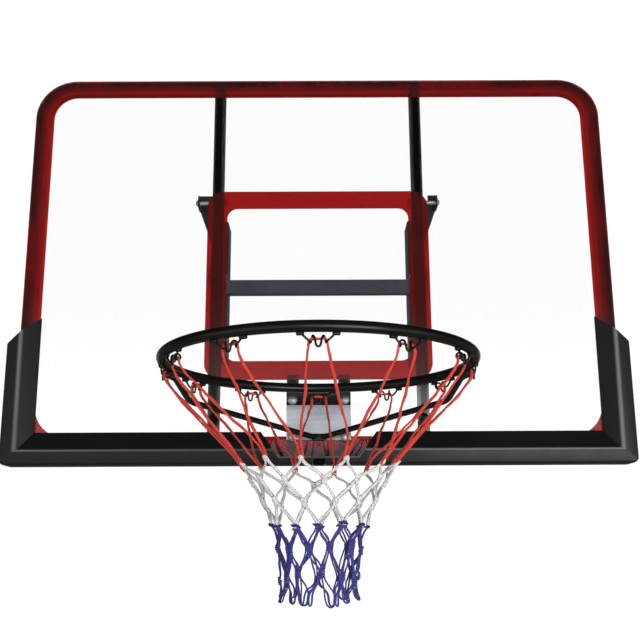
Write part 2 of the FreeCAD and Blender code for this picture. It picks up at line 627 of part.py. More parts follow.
def cord(top, foot, top_free=False):
    """A straight cord that stops just short of the knots' flat ends, or of their edges if it leans over."""
    run = foot - top
    lean = run.getAngle(-Z_AXIS)
    back_off = (CORD_GAP + CORD / 2 * math.sin(lean)) / max(0.2, math.cos(lean))
    edge = KNOT_R - CORD / 2 - CORD_GAP
    if edge * math.cos(lean) <= CORD / 2:
        back_off = min(back_off, edge * math.sin(lean) + CORD_GAP)
    unit = Vector(run).normalize()
    start = top if top_free else top + unit * back_off
    finish = foot - unit * back_off
    return Part.makeCylinder(CORD / 2, (finish - start).Length, start, unit)


def net():
    rows = len(NET_DROPS)
    step = 360.0 / HOOKS
    inside = RING_R - HOOK_WIRE / 2 - CORD / 2 - CORD_GAP
    loop_level = RING_LEVEL - RING_BAR / 2 - WELD - LOOP_DROP
    red, spans = [], []
    for j in range(HOOKS):
        across = Vector(math.cos(math.radians(step * j)), math.sin(math.radians(step * j)), 0)
        middle = ring_point(step * j, inside, loop_level)
        reach = HOOK_CURL_X - CORD / 2
        spans.append(Part.makeCylinder(CORD / 2, 2 * reach, middle - across * reach, across))
        for side in (-1, 1):
            start = middle + across * (side * (reach + CORD / 2 + 2 * CORD_GAP))
            target = j if side > 0 else (j - 1) % HOOKS
            red.append(cord(start, knot_side(0, target, -side, 1), True))
    export("net_red", red + spans)

    bands = [[] for _ in range(rows - 1)]
    for row in range(rows - 1):
        for i in range(HOOKS):
            for side in (-1, 1):
                if row % 2 == 0:
                    below = (i + 1) % HOOKS if side > 0 else i
                else:
                    below = i if side > 0 else (i - 1) % HOOKS
                bands[row].append(cord(knot_side(row, i, side, -1), knot_side(row + 1, below, -side, 1)))
    export("net_white", bands[0] + bands[1] + bands[2])
    export("net_blue", bands[3] + bands[4] + bands[5])

    ties = [[Part.makeCylinder(KNOT_R, KNOT_H, ring_point(*knot(row, i)) - Z_AXIS * (KNOT_H / 2), Z_AXIS)
             for i in range(HOOKS)] for row in range(rows)]
    export("net_upper_ties", ties[0])
    export("net_white_knots", ties[1] + ties[2])
    export("net_lower_ties", ties[3])
    export("net_blue_knots", ties[4] + ties[5])
    export("net_loop_ends", ties[6])


films = board()
frame(films)
uprights()
brackets()
guards()
rim()
hooks()
net()
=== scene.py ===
import math

import bmesh
import bpy
from mathutils import Matrix, Vector


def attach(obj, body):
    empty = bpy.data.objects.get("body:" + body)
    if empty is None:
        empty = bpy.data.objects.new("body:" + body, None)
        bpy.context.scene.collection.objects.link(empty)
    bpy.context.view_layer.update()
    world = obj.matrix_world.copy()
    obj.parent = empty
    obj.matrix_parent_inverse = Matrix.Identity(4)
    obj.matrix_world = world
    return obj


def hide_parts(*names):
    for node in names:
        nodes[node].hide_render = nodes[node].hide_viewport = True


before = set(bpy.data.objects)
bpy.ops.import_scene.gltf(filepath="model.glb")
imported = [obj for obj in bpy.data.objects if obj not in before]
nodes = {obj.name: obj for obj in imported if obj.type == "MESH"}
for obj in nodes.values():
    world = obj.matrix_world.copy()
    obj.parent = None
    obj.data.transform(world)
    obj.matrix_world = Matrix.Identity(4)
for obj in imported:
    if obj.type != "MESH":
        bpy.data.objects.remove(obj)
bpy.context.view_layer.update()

# Clear panel
# One 4 mm sheet of extruded polycarbonate with a polished edge and two wide top corners.
# Its gloss is nearly perfect: a slow ripple from the rollers is all that shows.
MM = 0.001


def per(size):
    """How many repeats of a pattern go into a metre, from the size of one in millimetres."""
    return 1.0 / (size * MM)


def linear(code):
    """A six-digit sRGB colour as linear red, green and blue, with full alpha."""
    parts = [int(code[k:k + 2], 16) / 255 for k in (0, 2, 4)]
    return tuple(c / 12.92 if c <= 0.04045 else ((c + 0.055) / 1.055) ** 2.4 for c in parts) + (1.0,)


def feed(node, inputs):
    """Gives inputs a value, a colour by its code, or a link from a socket or a node's first live output."""
    for word, value in inputs.items():
        socket = node.inputs[word]
        if isinstance(value, bpy.types.Node):
            value = next(out for out in value.outputs if out.enabled)
        if isinstance(value, bpy.types.NodeSocket):
            node.id_data.links.new(value, socket)
        elif socket.type == "RGBA":
            socket.default_value = linear(value)
        else:
            socket.default_value = value


def add(tree, kind, inputs=None, **settings):
    """Adds one node with its settings, values and links."""
    made = tree.nodes.new(kind)
    for word, value in settings.items():
        setattr(made, word, value)
    feed(made, inputs or {})
    return made


def blank(name, constants):
    """A new material with its shader's own sockets set, and the tree that its detail goes into."""
    material = bpy.data.materials.new(name)
    material.use_nodes = True
    shader = material.node_tree.nodes["Principled BSDF"]
    feed(shader, constants)
    where = add(material.node_tree, "ShaderNodeTexCoord").outputs["Object"]
    return material, material.node_tree, shader, where


def dress(finish, *names):
    """Gives CAD pieces their finish."""
    for name in names:
        nodes[name].data.materials.clear()
        nodes[name].data.materials.append(finish)


# Extruded polycarbonate is as clear and as glossy as glass.
clear, tree, shader, where = blank("clear_polycarbonate", {
    "Base Color": "FFFFFF", "Roughness": 0.0, "Transmission Weight": 1.0, "IOR": 1.5})
ripple = add(tree, "ShaderNodeTexNoise", {"Vector": where, "Scale": per(180), "Detail": 1.0})
skin = add(tree, "ShaderNodeBump", {"Height": ripple, "Strength": 0.12, "Distance": 1.0 * MM})
feed(shader, {"Normal": skin})
dress(clear, "board_panel")

# Printed bands
# The border and the target are screen printed in red on the panel's back, where play can't scratch them.
# The ink is translucent, so the white behind lights it up and the black tubes show through it as dark bars.
DEPTH_ZERO = 80.0
LEVEL_ZERO = 230.0
PANEL_HALF = 559.0
PANEL_HIGH = 762.0
BORDER = 36.0
BORDER_FOOT = 48.0
TARGET_HALF = 213.5
TARGET_LOW = 153.0
TARGET_HIGH = 526.0
TARGET_SIDE = 38.5
TARGET_BAR = 36.0
PANEL_CORNERS = (12.0, 78.0)
BORDER_CORNERS = (57.0, 46.0)
TARGET_CORNERS = (32.0, 32.0)
TARGET_INNER_CORNERS = (20.0, 20.0)
TUBE_SHADE = 193.0
INK_FRONT = 4.03
INK_BACK = 4.25
COLOUR = {"data_type": "RGBA"}
EASED = {"interpolation_type": "SMOOTHSTEP"}


def at(x, depth, level):
    """A place from its x, its depth behind the panel's front and its level above the panel's foot in mm."""
    return Vector((x * MM, (depth - DEPTH_ZERO) * MM, (level - LEVEL_ZERO) * MM))


def outline(half, low, high, foot_r, top_r):
    """A rounded rectangle as x and level, with the same count of points whatever its radii."""
    turns = ((half - foot_r, low + foot_r, foot_r, -90), (half - top_r, high - top_r, top_r, 0),
             (top_r - half, high - top_r, top_r, 90), (foot_r - half, low + foot_r, foot_r, 180))
    points = []
    for x, level, r, start in turns:
        for k in range(13):
            a = math.radians(start + 7.5 * k)
            points.append((x + r * math.cos(a), level + r * math.sin(a)))
    return points


def put(name, data):
    """Puts a new object into the scene."""
    made = bpy.data.objects.new(name, data)
    bpy.context.scene.collection.objects.link(made)
    return made


def place(name, mesh, slot, *stands_for, body="board"):
    """Puts in a finished mesh as a piece that rides on a body and stands for CAD pieces."""
    piece = put(name, mesh)
    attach(piece, body)
    if stands_for:
        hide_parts(*stands_for)
    return piece


def printed(name, outer, inner, finish, spread):
    """A flat band of ink between two outlines: a closed film that knows how far in from its edge it is."""
    count = len(outer)
    points = []
    for loop, depth in ((outer, INK_FRONT), (inner, INK_FRONT), (inner, INK_BACK), (outer, INK_BACK)):
        points += [at(x, depth, level) for x, level in loop]
    faces = []
    for side in range(4):
        near = side * count
        far = (side + 1) % 4 * count
        for k in range(count):
            after = (k + 1) % count
            faces.append((near + k, near + after, far + after, far + k))
    mesh = bpy.data.meshes.new(name)
    mesh.from_pydata(points, [], faces)
    rims = [0.5 - spread] * count
    inset = mesh.attributes.new("inset", "FLOAT", "POINT")
    inset.data.foreach_set("value", rims + [0.5 + spread] * (2 * count) + rims)
    mesh.materials.append(finish)
    place(name + "_ink", mesh, "red_print", name)


# Glossy translucent ink. Its colour swings a little at random with the load of ink, and it carries painted
# light and shade: painted brighter just inside the border's middle, painted darker in patches on its outer
# half, and painted darkest at the foot. Where the uprights stand behind it, their shade is painted into it
# as dark bars.
ink, tree, shader, where = blank("red_screen_print", {"Transmission Weight": 0.6, "IOR": 1.03})
stroke = add(tree, "ShaderNodeMapping", {"Vector": where, "Scale": (1.0, 1.0, 0.25)})
load = add(tree, "ShaderNodeTexNoise", {
    "Vector": stroke, "Scale": per(25), "Detail": 4.0, "Roughness": 0.6})
tint = add(tree, "ShaderNodeMix", {0: load, 6: "B41513", 7: "C21A18"}, **COLOUR)
inset = add(tree, "ShaderNodeAttribute", attribute_name="inset").outputs["Fac"]
# Painted light: just inside the border's middle the ink is painted brighter.
past_middle = add(tree, "ShaderNodeMapRange", {"Value": inset, "From Min": 0.5, "From Max": 0.68}, **EASED)
inner_half = add(tree, "ShaderNodeMapRange", {
    "Value": inset, "From Min": 0.84, "From Max": 0.7, "To Max": past_middle}, **EASED)
bright = add(tree, "ShaderNodeMix", {0: inner_half, 6: tint, 7: "DE231E"}, **COLOUR)
# Painted shade: the ink's outer half is painted darker in slow patches.
slow = add(tree, "ShaderNodeTexNoise", {"Vector": where, "Scale": per(170), "Detail": 1.0})
outer_half = add(tree, "ShaderNodeMapRange", {"Value": inset, "From Min": 0.5, "From Max": 0.2}, **EASED)
painted_shade_patches = add(tree, "ShaderNodeMapRange", {
    "Value": slow, "From Min": 0.38, "From Max": 0.54, "To Max": outer_half}, **EASED)
patched = add(tree, "ShaderNodeMix", {0: painted_shade_patches, 6: bright, 7: "7A1510"}, **COLOUR)
# Painted shade: dark bars are painted into the ink where the uprights stand behind it.
spot = add(tree, "ShaderNodeSeparateXYZ", {"Vector": where})
aside = add(tree, "ShaderNodeMath", {0: spot.outputs["X"]}, operation="ABSOLUTE")
beyond = add(tree, "ShaderNodeMath", {0: aside, 1: TUBE_SHADE * MM}, operation="SUBTRACT")
apart = add(tree, "ShaderNodeMath", {0: beyond}, operation="ABSOLUTE")
painted_tube_shade = add(tree, "ShaderNodeMapRange", {
    "Value": apart, "From Min": 14 * MM, "From Max": 8 * MM, "To Max": 0.8}, **EASED)
shaded = add(tree, "ShaderNodeMix", {0: painted_tube_shade, 6: patched, 7: "7A1C16"}, **COLOUR)
# Painted shade: the ink is painted darker towards the foot.
foot = add(tree, "ShaderNodeMapRange", {
    "Value": spot.outputs["Z"], "From Min": at(0, 0, 56).z, "From Max": at(0, 0, 24).z})
with_painted_foot_shade = add(tree, "ShaderNodeMix", {0: foot, 6: shaded, 7: "64202C"}, **COLOUR)
grain = add(tree, "ShaderNodeTexNoise", {"Vector": where, "Scale": per(2), "Detail": 2.0})
matt = add(tree, "ShaderNodeMapRange", {"Value": grain, "To Min": 0.05, "To Max": 0.15})
feed(shader, {"Base Color": with_painted_foot_shade, "Roughness": matt})
printed("border_print", outline(PANEL_HALF, 0, PANEL_HIGH, *PANEL_CORNERS),
        outline(PANEL_HALF - BORDER, BORDER_FOOT, PANEL_HIGH - BORDER, *BORDER_CORNERS), ink, spread=0.5)
printed("target_print", outline(TARGET_HALF, TARGET_LOW, TARGET_HIGH, *TARGET_CORNERS),
        outline(TARGET_HALF - TARGET_SIDE, TARGET_LOW + TARGET_BAR, TARGET_HIGH - TARGET_BAR,
                *TARGET_INNER_CORNERS), ink, spread=0.0)

# Foam tape
# Strips of 1 mm black foam between the panel and the steel, stuck on both sides so the sheet can't buzz.
# The cut edge shows its open cells.
foam, tree, shader, where = blank("black_foam_tape", {"Roughness": 0.95})
cells = add(tree, "ShaderNodeTexVoronoi", {"Vector": where, "Scale": per(0.8)})
shade = add(tree, "ShaderNodeMix", {0: cells, 6: "2C2C27", 7: "3C3C36"}, **COLOUR)
skin = add(tree, "ShaderNodeBump", {"Height": cells, "Strength": 0.6, "Distance": 0.3 * MM})
feed(shader, {"Base Color": shade, "Normal": skin})
dress(foam, "frame_tape")

# Frame hoop, rail, uprights, cross bar and posts
# Square steel tube with 1.5 mm walls, cut, bent and welded, then powder coated in satin black.
# Rolled tube has rounded corners, so each piece is its CAD shape with the sharp edges taken off.


def settled(name, shell, finish):
    """Turns a shape under work into a mesh with its finish."""
    mesh = bpy.data.meshes.new(name)
    shell.to_mesh(mesh)
    shell.free()
    mesh.materials.append(finish)
    return mesh


def softened(radius, finish, slot, *names):
    """Copies CAD pieces with their flat facets joined and their sharp edges rounded, to stand for them."""
    for name in names:
        shell = bmesh.new()
        shell.from_mesh(nodes[name].data)
        bmesh.ops.remove_doubles(shell, verts=shell.verts, dist=0.001 * MM)
        bmesh.ops.dissolve_limit(shell, angle_limit=math.radians(0.4), verts=shell.verts, edges=shell.edges)
        for face in shell.faces:
            face.smooth = True
        mesh = settled(name + "_rounded", shell, finish)
        if "custom_normal" in mesh.attributes:
            mesh.attributes.remove(mesh.attributes["custom_normal"])
        rounding = place(name + "_rounded", mesh, slot, name).modifiers.new("rounding", "BEVEL")
        rounding.width = radius * MM
        rounding.segments = 2
        rounding.limit_method = "ANGLE"
        rounding.angle_limit = math.radians(35)
        rounding.harden_normals = True


def mottled(name, dark, light, constants, size, detail, rough=0.5):
    """A finish that swings between two tones in patches of a given size, and the nodes of both."""
    material, tree, shader, where = blank(name, constants)
    patches = add(tree, "ShaderNodeTexNoise", {
        "Vector": where, "Scale": per(size), "Detail": detail, "Roughness": rough})
    tone = add(tree, "ShaderNodeMix", {0: patches, 6: dark, 7: light}, **COLOUR)
    feed(shader, {"Base Color": tone})
    return material, tree, shader, where, patches, tone


def worn_edges(tree, where, width):
    """How much a point is on an outside edge, from 0 to 1, broken up as real rubbing is."""
    round_edge = add(tree, "ShaderNodeBevel", {"Radius": width * MM}, samples=4)
    flat = add(tree, "ShaderNodeNewGeometry").outputs["Normal"]
    agree = add(tree, "ShaderNodeVectorMath", {0: round_edge, 1: flat}, operation="DOT_PRODUCT")
    edge = add(tree, "ShaderNodeMapRange", {"Value": agree, "From Min": 0.98, "From Max": 0.8})
    patches = add(tree, "ShaderNodeTexNoise", {
        "Vector": where, "Scale": per(14), "Detail": 5.0, "Roughness": 0.7})
    wear_and_painted_highlight = add(tree, "ShaderNodeMapRange", {"Value": patches, "From Min": 0.42, "From Max": 0.62})
    return add(tree, "ShaderNodeMath", {0: edge, 1: wear_and_painted_highlight}, operation="MULTIPLY")


def coated(name, dark, light, edge, rough, peel, specular):
    """Paint on steel: slow patches of tone, an orange-peel skin, and edges rubbed a little paler."""
    material, tree, shader, where, _, body = mottled(
        name, dark, light, {"Specular IOR Level": specular}, size=50, detail=5.0)
    tone = add(tree, "ShaderNodeMix", {0: worn_edges(tree, where, 1.0), 6: body, 7: edge}, **COLOUR)
    smears = add(tree, "ShaderNodeTexNoise", {"Vector": where, "Scale": per(22), "Detail": 4.0})
    sheen = add(tree, "ShaderNodeMapRange", {
        "Value": smears, "From Min": 0.3, "From Max": 0.7, "To Min": rough - 0.06, "To Max": rough + 0.08})
    pores = add(tree, "ShaderNodeTexNoise", {"Vector": where, "Scale": per(peel), "Detail": 2.0})
    skin = add(tree, "ShaderNodeBump", {"Height": pores, "Strength": 0.35, "Distance": 0.08 * MM})
    feed(shader, {"Base Color": tone, "Roughness": sheen, "Normal": skin})
    return material


# Powder coat melts into a satin skin with a fine orange peel, drawn at 1.6 mm so that it shows.
powder = coated("satin_black_powder_coat", "2B2C29", "363731", "4A4B46", rough=0.42, peel=1.6, specular=0.3)
softened(0.7, powder, "black_powder_coat", "frame_hoop", "frame_bottom_rail",
         "upright_left", "upright_right", "rim_post_left", "rim_post_right")
# The cross bar has the same black coat, painted lighter and bluer as a painted reflection.
bar_coat = coated(
    "black_powder_coat_painted_lighter", "3E4149", "585B64", "6E7074", rough=0.4, peel=1.6, specular=0.35)
softened(0.7, bar_coat, "grey_black_coat", "cross_bar")

# Weld beads
# The tubes meet in short fillet welds: a row of overlapping puddles laid along each joint before coating.
# The neck shelf and the brace are welded to the ring in the same way.
UPRIGHT_SIDES = (185.0, 205.0)
POST_SIDES = (37.0, 59.0)
LEG_INSIDE = 537.0
RAIL_TOP = 21.0
HOOP_UNDERSIDE = 741.0
CROSS_BAR_LEVELS = (321.5, 348.5)
CROSS_BAR_REAR = 30.0
TUBE_DEPTHS = (7, 14, 21, 28)
BAR_DEPTHS = (11, 17, 23, 29)
BAR_RISE = (322.5, 331, 339, 347.5)


def tree_for(name, sizes):
    """A new Geometry Nodes tree whose inputs are a source, named sizes and a finish, and those inputs."""
    made = bpy.data.node_groups.new(name, "GeometryNodeTree")
    for word, kind in {"Source": "Geometry", **sizes, "Finish": "Material"}.items():
        made.interface.new_socket(word, in_out="INPUT", socket_type="NodeSocket" + kind)
    made.interface.new_socket("Result", in_out="OUTPUT", socket_type="NodeSocketGeometry")
    return made, add(made, "NodeGroupInput").outputs


def close_tree(tree, given, shape):
    """Ends a tree: smooth shading, real geometry and the finish."""
    smooth = add(tree, "GeometryNodeSetShadeSmooth", {"Geometry": shape})
    real = add(tree, "GeometryNodeRealizeInstances", {"Geometry": smooth})
    coat = add(tree, "GeometryNodeSetMaterial", {"Geometry": real, "Material": given["Finish"]})
    add(tree, "NodeGroupOutput", {0: coat})


def routed(name, routes, tree, sizes, slot, *stands_for, closed=False):
    """Sends smooth routes through a tree, and places the plain mesh that it makes for some CAD pieces."""
    path = bpy.data.curves.new(name, "CURVE")
    path.dimensions = "3D"
    path.resolution_u = 10
    for points in routes:
        spline = path.splines.new("NURBS")
        spline.points.add(len(points) - 1)
        for point, spot in zip(spline.points, points):
            point.co = (*spot, 1.0)
        spline.use_cyclic_u = closed
        spline.use_endpoint_u = not closed
        spline.order_u = 3
    carrier = put(name, path)
    making = carrier.modifiers.new("making", "NODES")
    making.node_group = tree
    for item in tree.interface.items_tree:
        if item.name in sizes:
            making[item.identifier] = sizes[item.name]
    graph = bpy.context.evaluated_depsgraph_get()
    mesh = bpy.data.meshes.new_from_object(
        carrier.evaluated_get(graph), preserve_all_data_layers=True, depsgraph=graph)
    bpy.data.objects.remove(carrier)
    place(name, mesh, slot, *stands_for)


bead_tree, given = tree_for("weld_bead", {"Bead": "Float", "Pitch": "Float"})
steps = add(bead_tree, "GeometryNodeResampleCurve", {
    "Curve": given["Source"], "Length": given["Pitch"]}, mode="LENGTH")
puddle = add(bead_tree, "GeometryNodeMeshIcoSphere", {"Radius": 1.0, "Subdivisions": 2})
uneven = add(bead_tree, "FunctionNodeRandomValue", {2: 0.8, 3: 1.15, "Seed": 7}, data_type="FLOAT")
swell = add(bead_tree, "ShaderNodeMath", {0: uneven, 1: given["Bead"]}, operation="MULTIPLY")
beads = add(bead_tree, "GeometryNodeInstanceOnPoints", {
    "Points": steps, "Instance": puddle, "Scale": swell})
close_tree(bead_tree, given, beads)

joints = []
for s in (-1, 1):
    meetings = [(x, level) for x in UPRIGHT_SIDES for level in (RAIL_TOP, HOOP_UNDERSIDE)]
    meetings += [(x, RAIL_TOP) for x in POST_SIDES]
    joints += [[at(s * x, depth, level) for depth in TUBE_DEPTHS] for x, level in meetings]
    bar_end = s * UPRIGHT_SIDES[0]
    joints += [[at(bar_end, depth, level) for depth in BAR_DEPTHS] for level in CROSS_BAR_LEVELS]
    joints.append([at(bar_end, CROSS_BAR_REAR, level) for level in BAR_RISE])
    joints.append([at(s * LEG_INSIDE, depth, RAIL_TOP) for depth in TUBE_DEPTHS])
routed("frame_welds", joints, bead_tree, {
    "Bead": 1.9 * MM, "Pitch": 1.7 * MM, "Finish": powder}, "black_powder_coat")

# Plugs and caps
# Caps moulded in black plastic and pressed into the open ends of the hoop and of the two rim posts.
# They keep the fine grain of a spark-eroded mould.
plug, tree, shader, _, spark, _ = mottled(
    "moulded_black_plug", "121211", "1D1D1C", {"Roughness": 0.55}, size=0.7, detail=3.0)
skin = add(tree, "ShaderNodeBump", {"Height": spark, "Strength": 0.4, "Distance": 0.1 * MM})
feed(shader, {"Normal": skin})
softened(0.4, plug, "black_plug", "frame_plugs", "post_caps")

# Lift brackets
# Folded from 3 mm sheet: a web behind the upright, a cheek with the arm's bore, an ear and a clamp tab.
# They are coated with the frame, and the guillotined edges are only lightly broken.
softened(0.6, powder, "black_powder_coat", "lift_bracket_left", "lift_bracket_right")

# Bolts and nuts
# Bright zinc over steel: round-headed bolts, and hexagon nuts whose corners are turned off at 30 degrees.
# The zinc is thin and slightly blue, and greys in patches where hands and spanners have been.
NUT_FLATS = 13.0
NUT_HIGH = 7.0
NUT_BORE = 4.02
NUT_FACE = 0.96
NUT_CHAMFER = 30.0
NUT_POINTS = 36
BOLT_DEPTH = 20.0
BRACKET_BOLT = 358.0
PIVOT_BOLT = 508.0
PIVOT_NUT_X = 184.7
RIM_NUT_DEPTH = 31.6
RIM_BOLT_SIDES = (-48, 48)
RIM_BOLT_LEVELS = (47, 114)
zinc_bits, tree, shader, where, blotch, _ = mottled(
    "zinc_plated_fastener", "BEC2C5", "ECF0F2", {"Metallic": 1.0}, size=5, detail=5.0, rough=0.7)
dull = add(tree, "ShaderNodeMapRange", {
    "Value": blotch, "From Min": 0.3, "From Max": 0.7, "To Min": 0.62, "To Max": 0.46})
turned = add(tree, "ShaderNodeTexNoise", {"Vector": where, "Scale": per(0.6), "Detail": 2.0})
skin = add(tree, "ShaderNodeBump", {"Height": turned, "Strength": 0.2, "Distance": 0.05 * MM})
feed(shader, {"Roughness": dull, "Normal": skin})
dress(zinc_bits, "bracket_bolts", "pivot_bolt_left", "pivot_bolt_right",
      "rim_bolts", "rim_washers", "pad_screws")


def band(shell, near, far):
    """Joins two rings of corners with a band of faces."""
    for k in range(len(near)):
        after = (k + 1) % len(near)
        shell.faces.new((near[k], near[after], far[after], far[k]))


def hex_nut(shell, foot, along):
    """Adds a nut to a mesh: six flats, both ends chamfered by a cone, and an open bore."""
    side = along.orthogonal().normalized()
    up = along.cross(side)
    angles = [2 * math.pi * k / NUT_POINTS for k in range(NUT_POINTS)]
    flat = NUT_FLATS / 2
    face = flat * NUT_FACE
    sides = [flat / math.cos((a + math.pi / 6) % (math.pi / 3) - math.pi / 6) for a in angles]
    drops = [(r - face) * math.tan(math.radians(NUT_CHAMFER)) for r in sides]
    rings = ([(face, 0.0)] * NUT_POINTS, list(zip(sides, drops)),
             [(r, NUT_HIGH - drop) for r, drop in zip(sides, drops)], [(face, NUT_HIGH)] * NUT_POINTS,
             [(NUT_BORE, NUT_HIGH)] * NUT_POINTS, [(NUT_BORE, 0.0)] * NUT_POINTS)
    loops = []
    for ring in rings:
        loops.append([])
        for a, (r, h) in zip(angles, ring):
            spot = foot + along * (h * MM) + (side * math.cos(a) + up * math.sin(a)) * (r * MM)
            loops[-1].append(shell.verts.new(spot))
    for near, far in zip(loops, loops[1:] + loops[:1]):
        band(shell, near, far)


def nuts(name, body, along, *places):
    """Turns a node's nuts into chamfered ones, from the way that each points and its foot."""
    shell = bmesh.new()
    for direction, foot in zip(along, places):
        hex_nut(shell, foot, Vector(direction))
    bmesh.ops.recalc_face_normals(shell, faces=shell.faces)
    mesh = settled(name + "_chamfered", shell, zinc_bits)
    place(name + "_chamfered", mesh, "zinc_fastener", name, body=body)


RIGHTWARD = (1, 0, 0)
LEFTWARD = (-1, 0, 0)
REARWARD = (0, 1, 0)
nuts("bracket_nuts", "board", (RIGHTWARD, LEFTWARD),
     *[at(s * UPRIGHT_SIDES[0], BOLT_DEPTH, BRACKET_BOLT) for s in (-1, 1)])
nuts("pivot_nut_left", "pivot_left", (RIGHTWARD,), at(-PIVOT_NUT_X, BOLT_DEPTH, PIVOT_BOLT))
nuts("pivot_nut_right", "pivot_right", (LEFTWARD,), at(PIVOT_NUT_X, BOLT_DEPTH, PIVOT_BOLT))
nuts("rim_nuts", "board", (REARWARD,) * 4,
     *[at(x, RIM_NUT_DEPTH, level) for x in RIM_BOLT_SIDES for level in RIM_BOLT_LEVELS])

# Corner guards
# Two L-shaped guards blow-moulded in black polyethylene, with a ridge in front and a lip behind the frame.
# They push on over the panel's lower corners and are screwed through the lip; a small clip joins them.
GUARD_SIDE = (39.0, 20.0)
GUARD_FOOT = (56.0, 3.5)
GUARD_TOP = 271.0
GUARD_SLOPE = 51.0
GUARD_RIDGE = -22.0
HEAD_RIDGE = 0.54
LEG_RIDGE = 0.5
BEAM_RIDGE = 0.575
SIDE_CROWN = 6.0
FOOT_CROWN = 3.0
GUARD_REAR = 33.9
GUARD_CORNER = 11.0
FAN_FROM = 8.0
LIP_IN = 16.0
LIP_FRONT = GUARD_REAR - 3.5
STEP_FROM = 106.0
STEP_RUN = 33.0
STRIP_TOP = 9.0
GUARD_END = 11.0
FRONT_POINTS = 19
# How much painted highlight each point round the crest of a section carries.
CREST_POINTS = {8: 0.4, 9: 1.0, 10: 1.0, 11: 0.4}


def eased_corner(start, corner, finish, count):
    """Points along a bend between two places, drawn towards the corner that it rounds."""
    shares = [k / count for k in range(count + 1)]
    return [start * (1 - t) ** 2 + corner * (2 * t * (1 - t)) + finish * t ** 2 for t in shares]


def guard_section(inner, outer, share, crown):
    """The section across a leg as (distance out from the panel's edge, depth), with rounded corners."""
    ridge = -inner + share * (inner + outer)
    corners = [(-inner, -0.4, 0), (-inner, -4, 1.2), (ridge, GUARD_RIDGE, crown), (outer, -13, 4),
               (outer, GUARD_REAR, 2.5), (-LIP_IN, GUARD_REAR, 1), (-LIP_IN, LIP_FRONT, 0.8),
               (0.4, LIP_FRONT, 0), (0.4, -0.4, 0)]
    section = []
    for k, (out, depth, r) in enumerate(corners):
        here = Vector((out, depth))
        before = Vector(corners[k - 1][:2])
        after = Vector(corners[(k + 1) % len(corners)][:2])
        start = here + (before - here).normalized() * r
        finish = here + (after - here).normalized() * r
        section += eased_corner(start, here, finish, 5) if r else [here]
    return section


def guard_rings(fade):
    """The right guard as rings of points from its top to the clip, with each point's share of painted
    highlight.
    """
    head = guard_section(*GUARD_SIDE, HEAD_RIDGE, SIDE_CROWN)
    leg = guard_section(*GUARD_SIDE, LEG_RIDGE, SIDE_CROWN)
    beam = guard_section(*GUARD_FOOT, BEAM_RIDGE, FOOT_CROWN)
    crest = [CREST_POINTS.get(k, 0.0) for k in range(len(leg))]
    fall = GUARD_SLOPE / sum(GUARD_SIDE)
    ring = []
    for p, c in zip(head, crest):
        ring.append((PANEL_HALF + p.x, p.y, GUARD_TOP - fall * (p.x + GUARD_SIDE[0]), c))
    rings = [ring]
    for k in range(7):
        turn = math.radians(15 * k)
        ring = []
        for a, b, c in zip(leg, beam, crest):
            fan = GUARD_CORNER * max(0.0, min(1.0, (a.x - FAN_FROM) / FAN_FROM))
            x = PANEL_HALF + a.x - fan * (1 - math.cos(turn))
            ring.append((x, a.y, fan * (1 - math.sin(turn)) - b.x, c * (1 - fade * k / 6)))
        rings.append(ring)
    # The beam's front is cut down to a low strip on its way to the clip.
    front = beam[:FRONT_POINTS]
    for k in range(9):
        cut = GUARD_FOOT[0] + (STRIP_TOP - GUARD_FOOT[0]) * min(1.0, k / 7)
        x = STEP_FROM - STEP_RUN * k / 7 if k < 8 else GUARD_END
        low = next(j for j in range(len(front)) if -front[j].x < cut or j == len(front) - 1)
        a = front[max(low - 1, 0)]
        b = front[low]
        share = 0.0 if low == 0 or abs(a.x - b.x) < 1e-6 else (-cut - a.x) / (b.x - a.x)
        edge = a.y + (b.y - a.y) * share
        ring = []
        for j, p in enumerate(beam):
            if j >= low or k == 0:
                ring.append((x, p.y, -p.x, crest[j] * (1 - fade)))
            elif j == 0:
                ring.append((x, p.y, cut, 0.0))
            elif low < 9:
                ring.append((x, edge, cut, 0.0))
            elif j == 1:
                ring.append((x, edge + 2.0, cut, 0.0))
            elif j == low - 1:
                ring.append((x, edge + (b.y - a.y) * 2.5 / (a - b).length, cut - 2.4, 0.0))
            else:
                # The strip's cut edge carries the full painted highlight.
                ring.append((x, edge, cut, 1.0))
        rings.append(ring)
    return rings


def guard(name, side, fade, finish):
    """Skins the rings of one guard, with a painted highlight on its crest that a given fade weakens along
    the foot.
    """
    shell = bmesh.new()
    crest = shell.verts.layers.float.new("crest")
    rows = []
    for ring in guard_rings(fade):
        rows.append([shell.verts.new(at(side * x, depth, level)) for x, depth, level, share in ring])
        for corner, spot in zip(rows[-1], ring):
            corner[crest] = spot[3]
    for near, far in zip(rows, rows[1:]):
        band(shell, near, far)
    shell.faces.new(rows[0])
    shell.faces.new(rows[-1])
    bmesh.ops.remove_doubles(shell, verts=shell.verts, dist=0.02 * MM)
    bmesh.ops.dissolve_degenerate(shell, edges=shell.edges, dist=0.02 * MM)
    bmesh.ops.recalc_face_normals(shell, faces=shell.faces)
    for face in shell.faces:
        face.smooth = True
    mesh = settled(name + "_moulded", shell, finish)
    mesh.set_sharp_from_angle(angle=math.radians(28))
    place(name + "_moulded", mesh, "guard_plastic", name)


# Blow-moulded polyethylene is satin, with a fine pebble from the mould and slow hollows. Its edges are
# painted paler, partly as scuffing and partly as a painted highlight, and its crest carries a painted
# highlight.
moulded, tree, shader, where, patches, body = mottled(
    "blow_moulded_polyethylene", "101211", "191B1A", {"IOR": 1.5, "Specular IOR Level": 0.35},
    size=70, detail=6.0, rough=0.65)
tone = add(tree, "ShaderNodeMix", {0: worn_edges(tree, where, 2.0), 6: body, 7: "454648"}, **COLOUR)
